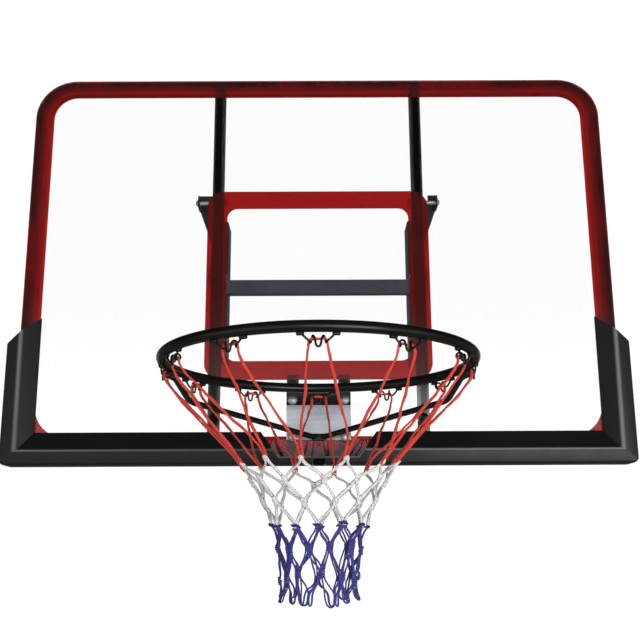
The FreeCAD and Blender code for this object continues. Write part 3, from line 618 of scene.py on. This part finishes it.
# Painted highlight: the crest and the strip's top edge are painted pale where light catches them.
crest = add(tree, "ShaderNodeAttribute", attribute_name="crest").outputs["Fac"]
wear_and_painted_highlight = add(tree, "ShaderNodeMix", {0: crest, 6: tone, 7: "77787B"}, **COLOUR)
sheen = add(tree, "ShaderNodeMapRange", {
    "Value": patches, "From Min": 0.3, "From Max": 0.7, "To Min": 0.36, "To Max": 0.5})
hollow = add(tree, "ShaderNodeTexNoise", {"Vector": where, "Scale": per(90), "Detail": 1.0})
slow = add(tree, "ShaderNodeBump", {"Height": hollow, "Strength": 0.5, "Distance": 1.5 * MM})
pebble = add(tree, "ShaderNodeTexVoronoi", {"Vector": where, "Scale": per(1.8)})
skin = add(tree, "ShaderNodeBump", {
    "Height": pebble, "Strength": 0.3, "Distance": 0.15 * MM, "Normal": slow})
feed(shader, {"Base Color": wear_and_painted_highlight, "Roughness": sheen, "Normal": skin})
# The painted highlight stays along the right guard's foot and fades along the left one's.
guard("corner_pad_right", side=1, fade=0.05, finish=moulded)
guard("corner_pad_left", side=-1, fade=0.6, finish=moulded)

# The clip is moulded in the same black and left dull, and its colour is painted darker still as painted
# shade, so it reads as a dark gap between the two guards.
clip_in_painted_shade = mottled("moulded_clip_in_painted_shade", "050505", "0B0A0A", {
    "Roughness": 0.8, "Specular IOR Level": 0.12}, size=3, detail=3.0)[0]
softened(0.5, clip_in_painted_shade, "guard_plastic", "pad_joiner")

# Rim plates
# A zinc-plated backing plate bolted through the panel to the posts, with a painted neck plate and shelf.
# The plate was linished before plating, so fine lines run across it and smear its reflections sideways.
zinc, tree, shader, where = blank("linished_zinc_plate", {"Metallic": 1.0})
along = add(tree, "ShaderNodeMapping", {"Vector": where, "Scale": (0.02, 1.0, 1.0)})
lines = add(tree, "ShaderNodeTexNoise", {
    "Vector": along, "Scale": per(0.9), "Detail": 3.0, "Roughness": 0.6})
clouds = add(tree, "ShaderNodeTexNoise", {
    "Vector": where, "Scale": per(35), "Detail": 5.0, "Roughness": 0.6})
mixed = add(tree, "ShaderNodeMath", {0: lines, 1: clouds}, operation="ADD")
share = add(tree, "ShaderNodeMapRange", {"Value": mixed, "From Min": 0.6, "From Max": 1.4})
plating = add(tree, "ShaderNodeMix", {0: share, 6: "A9AEB5", 7: "D6DBE2"}, **COLOUR)
dull = add(tree, "ShaderNodeMapRange", {"Value": share, "To Min": 0.40, "To Max": 0.24})
skin = add(tree, "ShaderNodeBump", {"Height": lines, "Strength": 0.25, "Distance": 0.05 * MM})
feed(shader, {"Base Color": plating, "Roughness": dull, "Normal": skin})
softened(0.5, zinc, "zinc_plate", "rim_plate")

# Liquid paint over steel: glossier than powder, with a longer orange peel.
paint = coated("glossy_black_rim_paint", "0D0E0C", "131412", "2B2B28", rough=0.19, peel=2.4, specular=0.35)
softened(0.7, paint, "black_rim_paint", "neck_plate", "neck_shelf")

# Ring
# A 16 mm round bar rolled into a hoop 450 mm across inside, butt welded at the back and painted.
# The neck shelf is welded to its rear, above and below.
RING_R = 233.0
RING_BAR = 16.0
RING_REACH = 332.0
RING_LEVEL = 120.0
RING_CENTRE = at(0, -RING_REACH, RING_LEVEL)
SHELF_FACES = (117.5, 122.5)
SHELF_WELD_ANGLES = range(172, 190, 2)
SHELF_WELD_R = 240.6
NECK_WELD_SIDES = (-33, -17, 0, 17, 33)
NECK_WELD_DEPTH = -8.0
WELD_FROM = 98
WELD_TO = 106
BRACE_WELD_RADII = (229.2, 236.8)
BRACE_WELD_LEVEL = 110.8


def swept(tree, route, bar, sides):
    """A round bar along a route."""
    half = add(tree, "ShaderNodeMath", {0: bar, 1: 0.5}, operation="MULTIPLY")
    section = add(tree, "GeometryNodeCurvePrimitiveCircle", {"Resolution": sides, "Radius": half})
    return add(tree, "GeometryNodeCurveToMesh", {
        "Curve": route, "Profile Curve": section, "Fill Caps": True})


def round_ring(angle, r, level):
    """A place on a circle about the ring's axis: 0 degrees is the front, 90 the board's right."""
    a = math.radians(angle)
    return at(r * math.sin(a), -RING_REACH - r * math.cos(a), level)


ring_tree, given = tree_for("rolled_ring", {"Radius": "Float", "Bar": "Float", "Centre": "Vector"})
hoop = add(ring_tree, "GeometryNodeCurvePrimitiveCircle", {"Resolution": 288, "Radius": given["Radius"]})
torus = swept(ring_tree, hoop, given["Bar"], 32)
moved = add(ring_tree, "GeometryNodeTransform", {"Geometry": torus, "Translation": given["Centre"]})
close_tree(ring_tree, given, moved)
routed("rim_ring_bar", [], ring_tree, {
    "Radius": RING_R * MM, "Bar": RING_BAR * MM, "Centre": RING_CENTRE, "Finish": paint},
    "black_rim_paint", "rim_ring")

joints = [[round_ring(angle, SHELF_WELD_R, level) for angle in SHELF_WELD_ANGLES] for level in SHELF_FACES]
joints += [[at(x, NECK_WELD_DEPTH, level) for x in NECK_WELD_SIDES] for level in SHELF_FACES]
for s in (-1, 1):
    angles = [s * angle for angle in range(WELD_FROM, WELD_TO + 1, 2)]
    joints += [[round_ring(angle, r, BRACE_WELD_LEVEL) for angle in angles] for r in BRACE_WELD_RADII]
routed("rim_welds", joints, bead_tree, {
    "Bead": 1.7 * MM, "Pitch": 1.6 * MM, "Finish": paint}, "black_rim_paint")

# Brace
# One 10 mm round bar, painted with the ring: welded under both its sides, bent down and back to the plate.
# It turns round a tight nose there and is swaged into a flat eye, which one blackened screw holds.
BRACE_BAR = 10.0
BRACE_LEVEL = 106.95
BRACE_BENDS = (30, 40, 16, 40, 30)
BRACE_CORNER = at(210, -200, 81)
BRACE_NOSE = at(0, -4.5, 43.5)
EYE_PLACE = at(0, -9.5, 44.5)
EYE_SIZE = Vector((24.0, 11.0, 13.0)) * MM


def swaged(tree, size, spot, level, crease):
    """A block with softened edges, set at a place."""
    block = add(tree, "GeometryNodeMeshCube", {"Size": size})
    soft = add(tree, "GeometryNodeSubdivisionSurface", {
        "Mesh": block, "Level": level, "Edge Crease": crease})
    return add(tree, "GeometryNodeTransform", {"Geometry": soft, "Translation": spot})


bar_tree, given = tree_for("bent_bar_with_eye", {
    "Bar": "Float", "Step": "Float", "Eye": "Vector", "Eye place": "Vector"})
even = add(bar_tree, "GeometryNodeResampleCurve", {
    "Curve": given["Source"], "Length": given["Step"]}, mode="LENGTH")
bent_bar = swept(bar_tree, even, given["Bar"], 24)
eye = swaged(bar_tree, given["Eye"], given["Eye place"], level=3, crease=0.8)
brace = add(bar_tree, "GeometryNodeJoinGeometry")
for piece in (bent_bar, eye):
    feed(brace, {0: piece})
close_tree(bar_tree, given, brace)


def bent(corners, radii):
    """A route of straight runs with a bend at each inner corner, from the radius of each bend in mm."""
    route = [corners[0]]
    for before, corner, after, r in zip(corners, corners[1:], corners[2:], radii):
        back = (before - corner).normalized()
        ahead = (after - corner).normalized()
        run = r * MM / math.tan(back.angle(ahead) / 2)
        route += eased_corner(corner + back * run, corner, corner + ahead * run, 8)
    return route + [corners[-1]]


def mirrored(points):
    """The other half of a route that is the same on both sides, from its middle on."""
    return [Vector((-p.x, p.y, p.z)) for p in reversed(points)]


arm = [round_ring(angle, RING_R, BRACE_LEVEL) for angle in (WELD_FROM, WELD_TO)] + [BRACE_CORNER]
brace_route = bent(arm + [BRACE_NOSE] + mirrored(arm), BRACE_BENDS)
routed("rim_brace_bar", [brace_route], bar_tree, {
    "Bar": BRACE_BAR * MM, "Step": 2.0 * MM, "Eye": EYE_SIZE, "Eye place": EYE_PLACE, "Finish": paint},
    "black_rim_paint", "rim_brace")

# The screw is blackened steel: dark, with a dull oily glint.
black_steel = mottled("blackened_steel_screw", "34352F", "5C5D55", {
    "Metallic": 1.0, "Roughness": 0.5}, size=2, detail=3.0)[0]
dress(black_steel, "brace_screw")

# Net hooks
# Twelve W-shaped hooks bent from 3 mm wire and welded under the ring on two small feet.
# Each has two pigtail curls that the net's loop is threaded through.
HOOKS = 12
WIRE = 3.0
FOOT_SIZE = Vector((10.5, 6.5, 5.5)) * MM
FOOT_ALONG = 23.0
FOOT_DROP = 1.4
LOOP_IN = 4.1
LOOP_DROP = 8.3
CURL = 4.815
hook_tree, given = tree_for("hooks_round_the_ring", {
    "Wire": "Float", "Count": "Int", "Step": "Float",
    "Foot": "Vector", "Foot place": "Vector", "Centre": "Vector"})
even = add(hook_tree, "GeometryNodeResampleCurve", {
    "Curve": given["Source"], "Length": given["Step"]}, mode="LENGTH")
wire = swept(hook_tree, even, given["Wire"], 10)
flip = add(hook_tree, "ShaderNodeVectorMath", {
    0: given["Foot place"], 1: (-1.0, 1.0, 1.0)}, operation="MULTIPLY")
foot_places = (given["Foot place"], flip)
feet = [swaged(hook_tree, given["Foot"], spot, level=2, crease=0.45) for spot in foot_places]
hook = add(hook_tree, "GeometryNodeJoinGeometry")
for piece in (wire, *feet):
    feed(hook, {0: piece})
spots = add(hook_tree, "GeometryNodeMeshLine", {"Count": given["Count"], "Offset": (0.0, 0.0, 0.0)})
number = add(hook_tree, "GeometryNodeInputIndex")
share = add(hook_tree, "ShaderNodeMath", {0: 2 * math.pi, 1: given["Count"]}, operation="DIVIDE")
turn = add(hook_tree, "ShaderNodeMath", {0: number, 1: share}, operation="MULTIPLY")
spin = add(hook_tree, "ShaderNodeCombineXYZ", {"Z": turn})
around = add(hook_tree, "GeometryNodeInstanceOnPoints", {
    "Points": spots, "Instance": hook, "Rotation": spin})
moved = add(hook_tree, "GeometryNodeTransform", {"Geometry": around, "Translation": given["Centre"]})
close_tree(hook_tree, given, moved)


def wire_spot(t, inward, drop):
    """A place on the front hook: along the ring, in from its centre line and down from its underside."""
    return Vector((t * MM, -(RING_R - inward) * MM, -(RING_BAR / 2 + drop) * MM))


bends = [(-FOOT_ALONG, 0, 0.5), (-20.5, 0, 3), (-14.5, 0, 9), (-11.8, 0, 11)]
for k in range(6):
    turn = math.radians(45 + 45 * k)
    bends.append((-11.2 + 0.8 * k, LOOP_IN - CURL * math.cos(turn), LOOP_DROP + CURL * math.sin(turn)))
bends += [(-5.2, 0.6, 5.0), (-3.6, 0.2, 12.5), (-2.6, 0, 18.5)]
left_half = [wire_spot(*bend) for bend in bends]
routed("net_hook_wires", [left_half + mirrored(left_half)], hook_tree, {
    "Wire": WIRE * MM, "Count": HOOKS, "Step": 1.2 * MM, "Foot": FOOT_SIZE,
    "Foot place": wire_spot(FOOT_ALONG, 0, FOOT_DROP), "Centre": RING_CENTRE, "Finish": paint},
    "black_rim_paint", "net_hooks")

# Net, red part
# One endless braided nylon cord: through both curls of a hook, down to a tie, up to the next hook, and on.
# Two neighbouring legs run side by side into each tie and turn through a white loop there.
HOOK_STEP = 360 / HOOKS
NET_DROPS = (155, 180, 209, 241, 273, 313, 340)
NET_RADII = (115, 98, 83, 68.5, 61, 56, 55)
NET_TURNS = (4, 2.5, -0.5, 0, 1, 2, 2)
NET_HEAD = (16.0, 229.0)
NET_HEM = (450.0, 55.0)
cord_tree, given = tree_for("braided_cord", dict.fromkeys(
    ("Width", "Thickness", "Twist", "Wander", "Waves", "Step"), "Float"))
even = add(cord_tree, "GeometryNodeResampleCurve", {
    "Curve": given["Source"], "Length": given["Step"]}, mode="LENGTH")
spot = add(cord_tree, "GeometryNodeInputPosition")
noise = add(cord_tree, "ShaderNodeTexNoise", {"Vector": spot, "Scale": given["Waves"], "Detail": 2.0})
centred = add(cord_tree, "ShaderNodeVectorMath", {
    0: noise.outputs["Color"], 1: (0.5, 0.5, 0.5)}, operation="SUBTRACT")
drift = add(cord_tree, "ShaderNodeVectorMath", {0: centred, "Scale": given["Wander"]}, operation="SCALE")
slack = add(cord_tree, "GeometryNodeSetPosition", {"Geometry": even, "Offset": drift})
run = add(cord_tree, "GeometryNodeSplineParameter").outputs["Length"]
winding = add(cord_tree, "ShaderNodeMath", {0: run, 1: given["Twist"]}, operation="MULTIPLY")
turning = add(cord_tree, "ShaderNodeMath", {0: noise, 1: 7.0, 2: winding}, operation="MULTIPLY_ADD")
tilted = add(cord_tree, "GeometryNodeSetCurveTilt", {"Curve": slack, "Tilt": turning})
measured = add(cord_tree, "GeometryNodeCaptureAttribute")
measured.capture_items.new("FLOAT", "along")
feed(measured, {"Geometry": tilted, "along": run})
section = add(cord_tree, "GeometryNodeCurvePrimitiveCircle", {"Resolution": 10, "Radius": 0.5})
oval = add(cord_tree, "ShaderNodeCombineXYZ", {"X": given["Width"], "Y": given["Thickness"], "Z": 1.0})
flat = add(cord_tree, "GeometryNodeTransform", {"Geometry": section, "Scale": oval})
across = add(cord_tree, "GeometryNodeSplineParameter")
doubled = add(cord_tree, "ShaderNodeMath", {0: across, 1: 2.0, 2: -1.0}, operation="MULTIPLY_ADD")
folded = add(cord_tree, "ShaderNodeMath", {0: doubled}, operation="ABSOLUTE")
marked = add(cord_tree, "GeometryNodeCaptureAttribute")
marked.capture_items.new("FLOAT", "around")
feed(marked, {"Geometry": flat, "around": folded})
cord = add(cord_tree, "GeometryNodeCurveToMesh", {
    "Curve": measured, "Profile Curve": marked, "Fill Caps": True})
for word, held in (("along", measured), ("around", marked)):
    cord = add(cord_tree, "GeometryNodeStoreNamedAttribute", {
        "Geometry": cord, "Name": word, "Value": held.outputs[word]})
close_tree(cord_tree, given, cord)


def braided(name, groove_painted_shade, crest, pitch):
    """Braided nylon: strands cross in chevrons, with painted shade in the grooves, soft fibres and a faint
    sheen.
    """
    material, tree, shader, where = blank(name, {"Roughness": 0.6, "Sheen Weight": 0.15, "IOR": 1.53})
    along = add(tree, "ShaderNodeAttribute", attribute_name="along").outputs["Fac"]
    around = add(tree, "ShaderNodeAttribute", attribute_name="around").outputs["Fac"]
    strands = add(tree, "ShaderNodeMath", {0: along, 1: 2 * math.pi * per(pitch)}, operation="MULTIPLY")
    slant = add(tree, "ShaderNodeMath", {0: around, 1: 9.0, 2: strands}, operation="MULTIPLY_ADD")
    chevron = add(tree, "ShaderNodeMath", {0: slant}, operation="SINE")
    fibres = add(tree, "ShaderNodeTexNoise", {
        "Vector": where, "Scale": per(6), "Detail": 5.0, "Roughness": 0.7})
    height = add(tree, "ShaderNodeMath", {0: chevron, 1: 0.25, 2: fibres}, operation="MULTIPLY_ADD")
    level = add(tree, "ShaderNodeMapRange", {"Value": height, "From Min": 0.2, "From Max": 0.75})
    # Painted shade: the grooves between strands are painted darker than the crests.
    colour = add(tree, "ShaderNodeMix", {0: level, 6: groove_painted_shade, 7: crest}, **COLOUR)
    skin = add(tree, "ShaderNodeBump", {"Height": height, "Strength": 0.7, "Distance": 0.5 * MM})
    feed(shader, {"Base Color": colour, "Normal": skin})
    return material


def corded(name, routes, finish, slot, *stands_for,
           section, wander, waves=40, twist=10.0, step=1.5, closed=False):
    """Lays cord along routes. Its section, how far and in what waves it wanders, and its step are in mm."""
    routed(name, routes, cord_tree, {
        "Width": section[0] * MM, "Thickness": section[1] * MM, "Twist": twist, "Wander": wander * MM,
        "Waves": per(waves), "Step": step * MM, "Finish": finish}, slot, *stands_for, closed=closed)


def knot(row, i):
    """Angle, radius and level of a tie: each row hangs half a step round from the one above."""
    loose = 1.0 if row < 4 else 2.2
    half_step = HOOK_STEP / 2 if row % 2 == 0 else 0
    angle = HOOK_STEP * i + half_step + NET_TURNS[row] + 1.6 * loose * math.sin(2.1 * i + 1.3 * row)
    drop = NET_DROPS[row] + (2.5 * loose if row < 6 else 2.5) * math.sin(1.7 * i + 0.9 * row)
    return angle, NET_RADII[row], RING_LEVEL - drop


def net_radius(drop):
    """The net's radius at a drop below the ring, straight between its rows."""
    stations = [NET_HEAD, *zip(NET_DROPS, NET_RADII), NET_HEM]
    for (high, wide), (low, narrow) in zip(stations, stations[1:]):
        if drop <= low:
            return wide + (narrow - wide) * (drop - high) / (low - high)
    return NET_RADII[-1]


def tied(row, i, across, up, out=0.0):
    """A place beside a tie, in mm along the row, up the net's own slope, and out from it."""
    angle, r, level = knot(row, i)
    a = math.radians(angle)
    slope = net_radius(NET_DROPS[row] - up) - NET_RADII[row]
    beside = Vector((math.cos(a), math.sin(a), 0)) * (across * MM)
    return round_ring(angle, r + slope + out, level + up) + beside


def hung(j, t, inward, drop):
    """A place at hook j, as on the front one."""
    turn = Matrix.Rotation(math.radians(HOOK_STEP * j), 3, "Z")
    return RING_CENTRE + turn @ wire_spot(t, inward, drop)


HOOK_RUN = ((-12.3, 24), (-11.8, 12), (-10, 8.2), (-4, 8.6), (4, 8.6), (10, 8.2), (11.8, 12), (12.3, 24))
TIE_RUN = ((-3.4, 24, 0), (-2.4, 9, -1.2), (-1.8, -2.5, -1), (1.8, -2.5, -1), (2.4, 9, -1.2), (3.4, 24, 0))
red_route = []
for j in range(HOOKS):
    red_route += [hung(j, t, LOOP_IN + 0.02 * drop, drop) for t, drop in HOOK_RUN]
    red_route += [tied(0, j, across, up, out) for across, up, out in TIE_RUN]
red = braided("red_braided_nylon", "C23426", "EE4A3B", pitch=5.0)
corded("net_red_cord", [red_route], red, "red_cord", "net_red",
       section=(4.4, 3.0), wander=8.0, waves=45, twist=16.0, step=2.5, closed=True)

# Net, white part
# Three endless zigzags of the same cord in white, each hung in the one above with its loops clasped.
# A loop's tip lies in front of the other's legs, so at every tie the cords run side by side, then part.
REACH = (3.0, 5.5, 5.5, 1.8, 5.0, 5.0, 5.5)
CLASP_OUT = 1.6
HEM_ROW = 5


def clasp(row, i, wide, tip, lead, lean):
    """A loop at a tie: in behind the other cord on one leg, across its tip in front, and out again."""
    loop = ((-wide, lead, -CLASP_OUT), (-0.8 * wide, tip, CLASP_OUT),
            (0.8 * wide, tip, CLASP_OUT), (wide, lead, -CLASP_OUT))
    return [tied(row, i, across + lean, up, out) for across, up, out in loop]


def zigzag(row, gap, shift=0.0):
    """One endless cord to and fro between two rows of ties, with each leg bowed a little its own way."""
    turns = []
    lead = 0.2 * (NET_DROPS[row + 1] - NET_DROPS[row])
    free = 0.0 if row < HEM_ROW else 1.0
    for i in range(HOOKS):
        turns.append(clasp(row, i, gap, REACH[row], -lead, shift))
        below = (i + 1) % HOOKS if row % 2 == 0 else i
        hem = 13 * math.cos(math.radians(HOOK_STEP * i + 17)) ** 2 - 5 + 2 * math.sin(1.9 * i + 2.2 * shift)
        deep = -REACH[row + 1] - free * hem
        wide = gap * (1 + free * (1.3 + 1.1 * math.sin(2.3 * i + 3 * shift)))
        lean = shift + free * 6 * math.sin(2.9 * i + 1.7 * shift)
        turns.append(clasp(row + 1, below, wide, deep, lead, lean))
    route = []
    for k, bend in enumerate(turns):
        after = turns[(k + 1) % len(turns)]
        middle = (bend[-1] + after[0]) / 2
        spoke = middle - RING_CENTRE
        beside = Vector((-spoke.y, spoke.x, 0)).normalized()
        bow = shift * (0.7 + 1.3 * math.sin(2.7 * k + 1.1 * row))
        route += bend + [middle + beside * (bow * MM)]
    return route


def coils(rows, wide, deep, rise, tail=0.0):
    """Wraps of a turn and a half round every tie of some rows, with their ends tucked in or left out."""
    routes = []
    for row in rows:
        for i in range(HOOKS):
            route = []
            for k in range(13):
                a = 3 * math.pi * k / 12 - math.pi
                route.append(tied(row, i, wide * math.cos(a), rise * (0.5 - k / 12), -deep * math.sin(a)))
            if tail:
                end = wide * math.cos(a) + math.copysign(tail, math.cos(a))
                route.insert(0, tied(row, i, -wide - tail, 0.5 * rise + 0.4, -0.6))
                route.append(tied(row, i, end, -0.5 * rise - 0.4, 0.6))
            routes.append(route)
    return routes


white = braided("white_braided_nylon", "D2CFCD", "F4F1EE", pitch=5.0)
corded("net_white_cord", [zigzag(row, gap=2.0) for row in range(3)], white, "white_cord", "net_white",
       section=(5.0, 3.3), wander=6.0, twist=20.0, step=2.2, closed=True)
corded("net_upper_wraps", coils((0,), wide=3.8, deep=3.2, rise=3.0), white, "white_cord", "net_upper_ties",
       section=(2.0, 1.6), wander=3.0)
corded("net_white_wraps", coils((1, 2), wide=4.6, deep=3.4, rise=3.0), white, "white_cord",
       "net_white_knots", section=(1.8, 1.5), wander=4.0)

# Net, blue part
# The lowest rows are knitted from two thinner blue cords side by side, which part and cross as they hang.
# A navy wrap with short tails gathers the white above each, and the last row ends in open loops.
blue = braided("blue_braided_nylon", "2E2A70", "4D48A2", pitch=4.0)
pairs = [zigzag(row, gap=2.2, shift=shift) for row in (3, 4, 5) for shift in (-1.5, 1.5)]
corded("net_blue_cord", pairs, blue, "blue_cord", "net_blue", "net_loop_ends",
       section=(2.9, 2.3), wander=7.0, waves=35, twist=20.0, step=2.2, closed=True)
navy = braided("navy_braided_nylon", "12133A", "2B2D78", pitch=3.0)
corded("net_lower_wraps", coils((3,), wide=5.2, deep=4.0, rise=2.0, tail=2.0), navy, "blue_cord",
       "net_lower_ties", section=(2.6, 2.2), wander=3.0)
corded("net_blue_wraps", coils((4, 5), wide=3.8, deep=3.0, rise=4.0), blue, "blue_cord",
       "net_blue_knots", section=(2.0, 1.6), wander=4.0)

# Court floor
# A pale sealed floor at the court's level, 3.05 m below the ring, where it takes the board's shadow.
# To the eye, and through the panel, it brightens outwards until it meets the white of the backdrop.
RING_HEIGHT = 3.05
FLOOR_R = 5.0
FLOOR_SIDES = 64
pale, tree, shader, where, _, tone = mottled(
    "pale_sealed_floor", "EDEDEB", "F6F6F4", {"Roughness": 0.5}, size=400, detail=4.0)
rays = add(tree, "ShaderNodeLightPath").outputs
seen = add(tree, "ShaderNodeMath", {
    0: rays["Is Camera Ray"], 1: rays["Is Transmission Ray"]}, operation="MAXIMUM")
reach = add(tree, "ShaderNodeVectorMath", {0: where}, operation="LENGTH")
fade = add(tree, "ShaderNodeMapRange", {
    "Value": reach, "From Min": 2.0, "From Max": FLOOR_R, "To Min": 0.8, "To Max": 1.06}, **EASED)
glow = add(tree, "ShaderNodeMath", {0: seen, 1: fade}, operation="MULTIPLY")
feed(shader, {"Emission Color": tone, "Emission Strength": glow})
mesh = bpy.data.meshes.new("court_floor")
edge = []
for k in range(FLOOR_SIDES):
    a = 2 * math.pi * k / FLOOR_SIDES
    edge.append((FLOOR_R * math.cos(a), FLOOR_R * math.sin(a), RING_CENTRE.z - RING_HEIGHT))
mesh.from_pydata(edge, [], [tuple(range(FLOOR_SIDES))])
mesh.materials.append(pale)
floor = put("court_floor", mesh)

# Studio
# A backdrop that is plain white to the eye, through the clear panel and in gloss that looks to the rear.
# The room in front is dim above and bright below, with three soft pools of light and one small sharp one.
# Six area lamps light the object, hidden from its reflections.
world = bpy.data.worlds.new("studio")
bpy.context.scene.world = world
world.use_nodes = True
tree = world.node_tree
tree.nodes.clear()
rays = add(tree, "ShaderNodeLightPath").outputs
bounced = add(tree, "ShaderNodeMath", {0: rays["Glossy Depth"], 1: rays["Diffuse Depth"]}, operation="ADD")
straight = add(tree, "ShaderNodeMath", {0: bounced, 1: 0.5}, operation="LESS_THAN")
through = add(tree, "ShaderNodeMath", {0: straight, 1: rays["Is Transmission Ray"]}, operation="MULTIPLY")
seen = add(tree, "ShaderNodeMath", {0: rays["Is Camera Ray"], 1: through}, operation="MAXIMUM")
aim = add(tree, "ShaderNodeTexCoord").outputs["Generated"]
split = add(tree, "ShaderNodeSeparateXYZ", {"Vector": aim}).outputs
low = add(tree, "ShaderNodeMapRange", {
    "Value": split["Z"], "From Min": 0.27, "From Max": 0.08, "To Min": 0.08, "To Max": 0.75}, **EASED)
behind = add(tree, "ShaderNodeMapRange", {
    "Value": split["Y"], "From Min": 0.7, "From Max": 0.97, "To Max": 0.2}, **EASED)
above = add(tree, "ShaderNodeMapRange", {"Value": split["Z"], "From Min": -0.12, "From Max": 0.02}, **EASED)
backdrop_side = add(tree, "ShaderNodeMath", {0: behind, 1: above}, operation="MULTIPLY")
in_gloss = add(tree, "ShaderNodeMath", {0: backdrop_side, 1: rays["Is Glossy Ray"]}, operation="MULTIPLY")
rear = add(tree, "ShaderNodeMath", {0: rays["Is Glossy Ray"], 1: -0.33, 2: 0.45}, operation="MULTIPLY_ADD")
front_side = add(tree, "ShaderNodeMapRange", {
    "Value": split["Y"], "From Min": 0.1, "From Max": -0.4, "To Min": rear, "To Max": 1.0}, **EASED)
level = add(tree, "ShaderNodeMath", {0: low, 1: front_side}, operation="MULTIPLY")
blurred = add(tree, "ShaderNodeMath", {
    0: rays["Is Glossy Ray"], 1: rays["Is Singular Ray"]}, operation="SUBTRACT")
sharp = add(tree, "ShaderNodeMath", {
    0: rays["Is Glossy Ray"], 1: rays["Is Singular Ray"]}, operation="MULTIPLY")
POOLS = (((0.38, -0.77, -0.51), 0.985, 0.86, 1.7, blurred),
         ((0.41, -0.88, -0.23), 0.99, 0.93, 3.2, blurred),
         ((0.0, -1.0, -0.08), 0.995, 0.95, 1.2, blurred),
         ((0.109, -0.985, 0.139), 0.9999, 0.9993, 2.2, sharp))
for centre, core, rim, strength, kind in POOLS:
    nearness = add(tree, "ShaderNodeVectorMath", {
        0: aim, 1: Vector(centre).normalized()}, operation="DOT_PRODUCT")
    pool = add(tree, "ShaderNodeMapRange", {
        "Value": nearness, "From Min": rim, "From Max": core, "To Max": strength}, **EASED)
    level = add(tree, "ShaderNodeMath", {0: pool, 1: kind, 2: level}, operation="MULTIPLY_ADD")
white_seen = add(tree, "ShaderNodeMath", {0: seen, 1: in_gloss}, operation="MAXIMUM")
room = add(tree, "ShaderNodeBackground", {"Color": "FFFFFF", "Strength": level})
backdrop = add(tree, "ShaderNodeBackground", {"Color": "FFFFFF", "Strength": 1.05})
chosen = add(tree, "ShaderNodeMixShader", {0: white_seen, 1: room, 2: backdrop})
add(tree, "ShaderNodeOutputWorld", {"Surface": chosen})

LAMPS = (("key", (-2.0, -1.6, 1.6), 1.2, 1.2, 6.0, "FFFFFF"),
         ("side", (1.0, -2.2, -0.5), 0.7, 0.7, 10.0, "F4F7FF"),
         ("low", (1.4, -2.0, -1.5), 1.0, 1.0, 8.0, "FFEADF"),
         ("strip", (0.3, -2.4, -0.33), 2.0, 0.12, 14.0, "FFFFFF"),
         ("back left", (-2.3, 2.0, 1.4), 1.2, 1.2, 30.0, "F4F7FF"),
         ("back right", (2.4, 1.9, 0.5), 1.2, 1.2, 22.0, "FFFFFF"))
LIT_SPOT = Vector((0, -0.2, 0.0))
for name, spot, wide, high, power, tint in LAMPS:
    lamp = bpy.data.lights.new(name, "AREA")
    lamp.shape = "RECTANGLE"
    lamp.size = wide
    lamp.size_y = high
    lamp.energy = power
    lamp.color = linear(tint)[:3]
    light = put(name, lamp)
    light.visible_transmission = False
    light.visible_glossy = False
    light.location = spot
    light.rotation_euler = (LIT_SPOT - Vector(spot)).to_track_quat("-Z", "Y").to_euler()

# Camera
# It stands below and in front of the board and looks up at it.
# Its place, its turns and its lens were fitted to the corners of the panel.
CAMERA_SPOT = (0.0, -1.8052, -0.3882)
CAMERA_TURN = -0.11
CAMERA_TILT = 103.837
CAMERA_ROLL = -0.258
LENS = 53.04
SENSOR = 36.0
lens = bpy.data.cameras.new("camera")
lens.sensor_width = SENSOR
lens.lens = LENS
camera = put("camera", lens)
camera.matrix_world = (Matrix.Translation(CAMERA_SPOT)
                       @ Matrix.Rotation(math.radians(CAMERA_TURN), 4, "Z")
                       @ Matrix.Rotation(math.radians(CAMERA_TILT), 4, "X")
                       @ Matrix.Rotation(math.radians(CAMERA_ROLL), 4, "Z"))
bpy.context.scene.camera = camera
bpy.context.scene.view_settings.view_transform = "Standard"
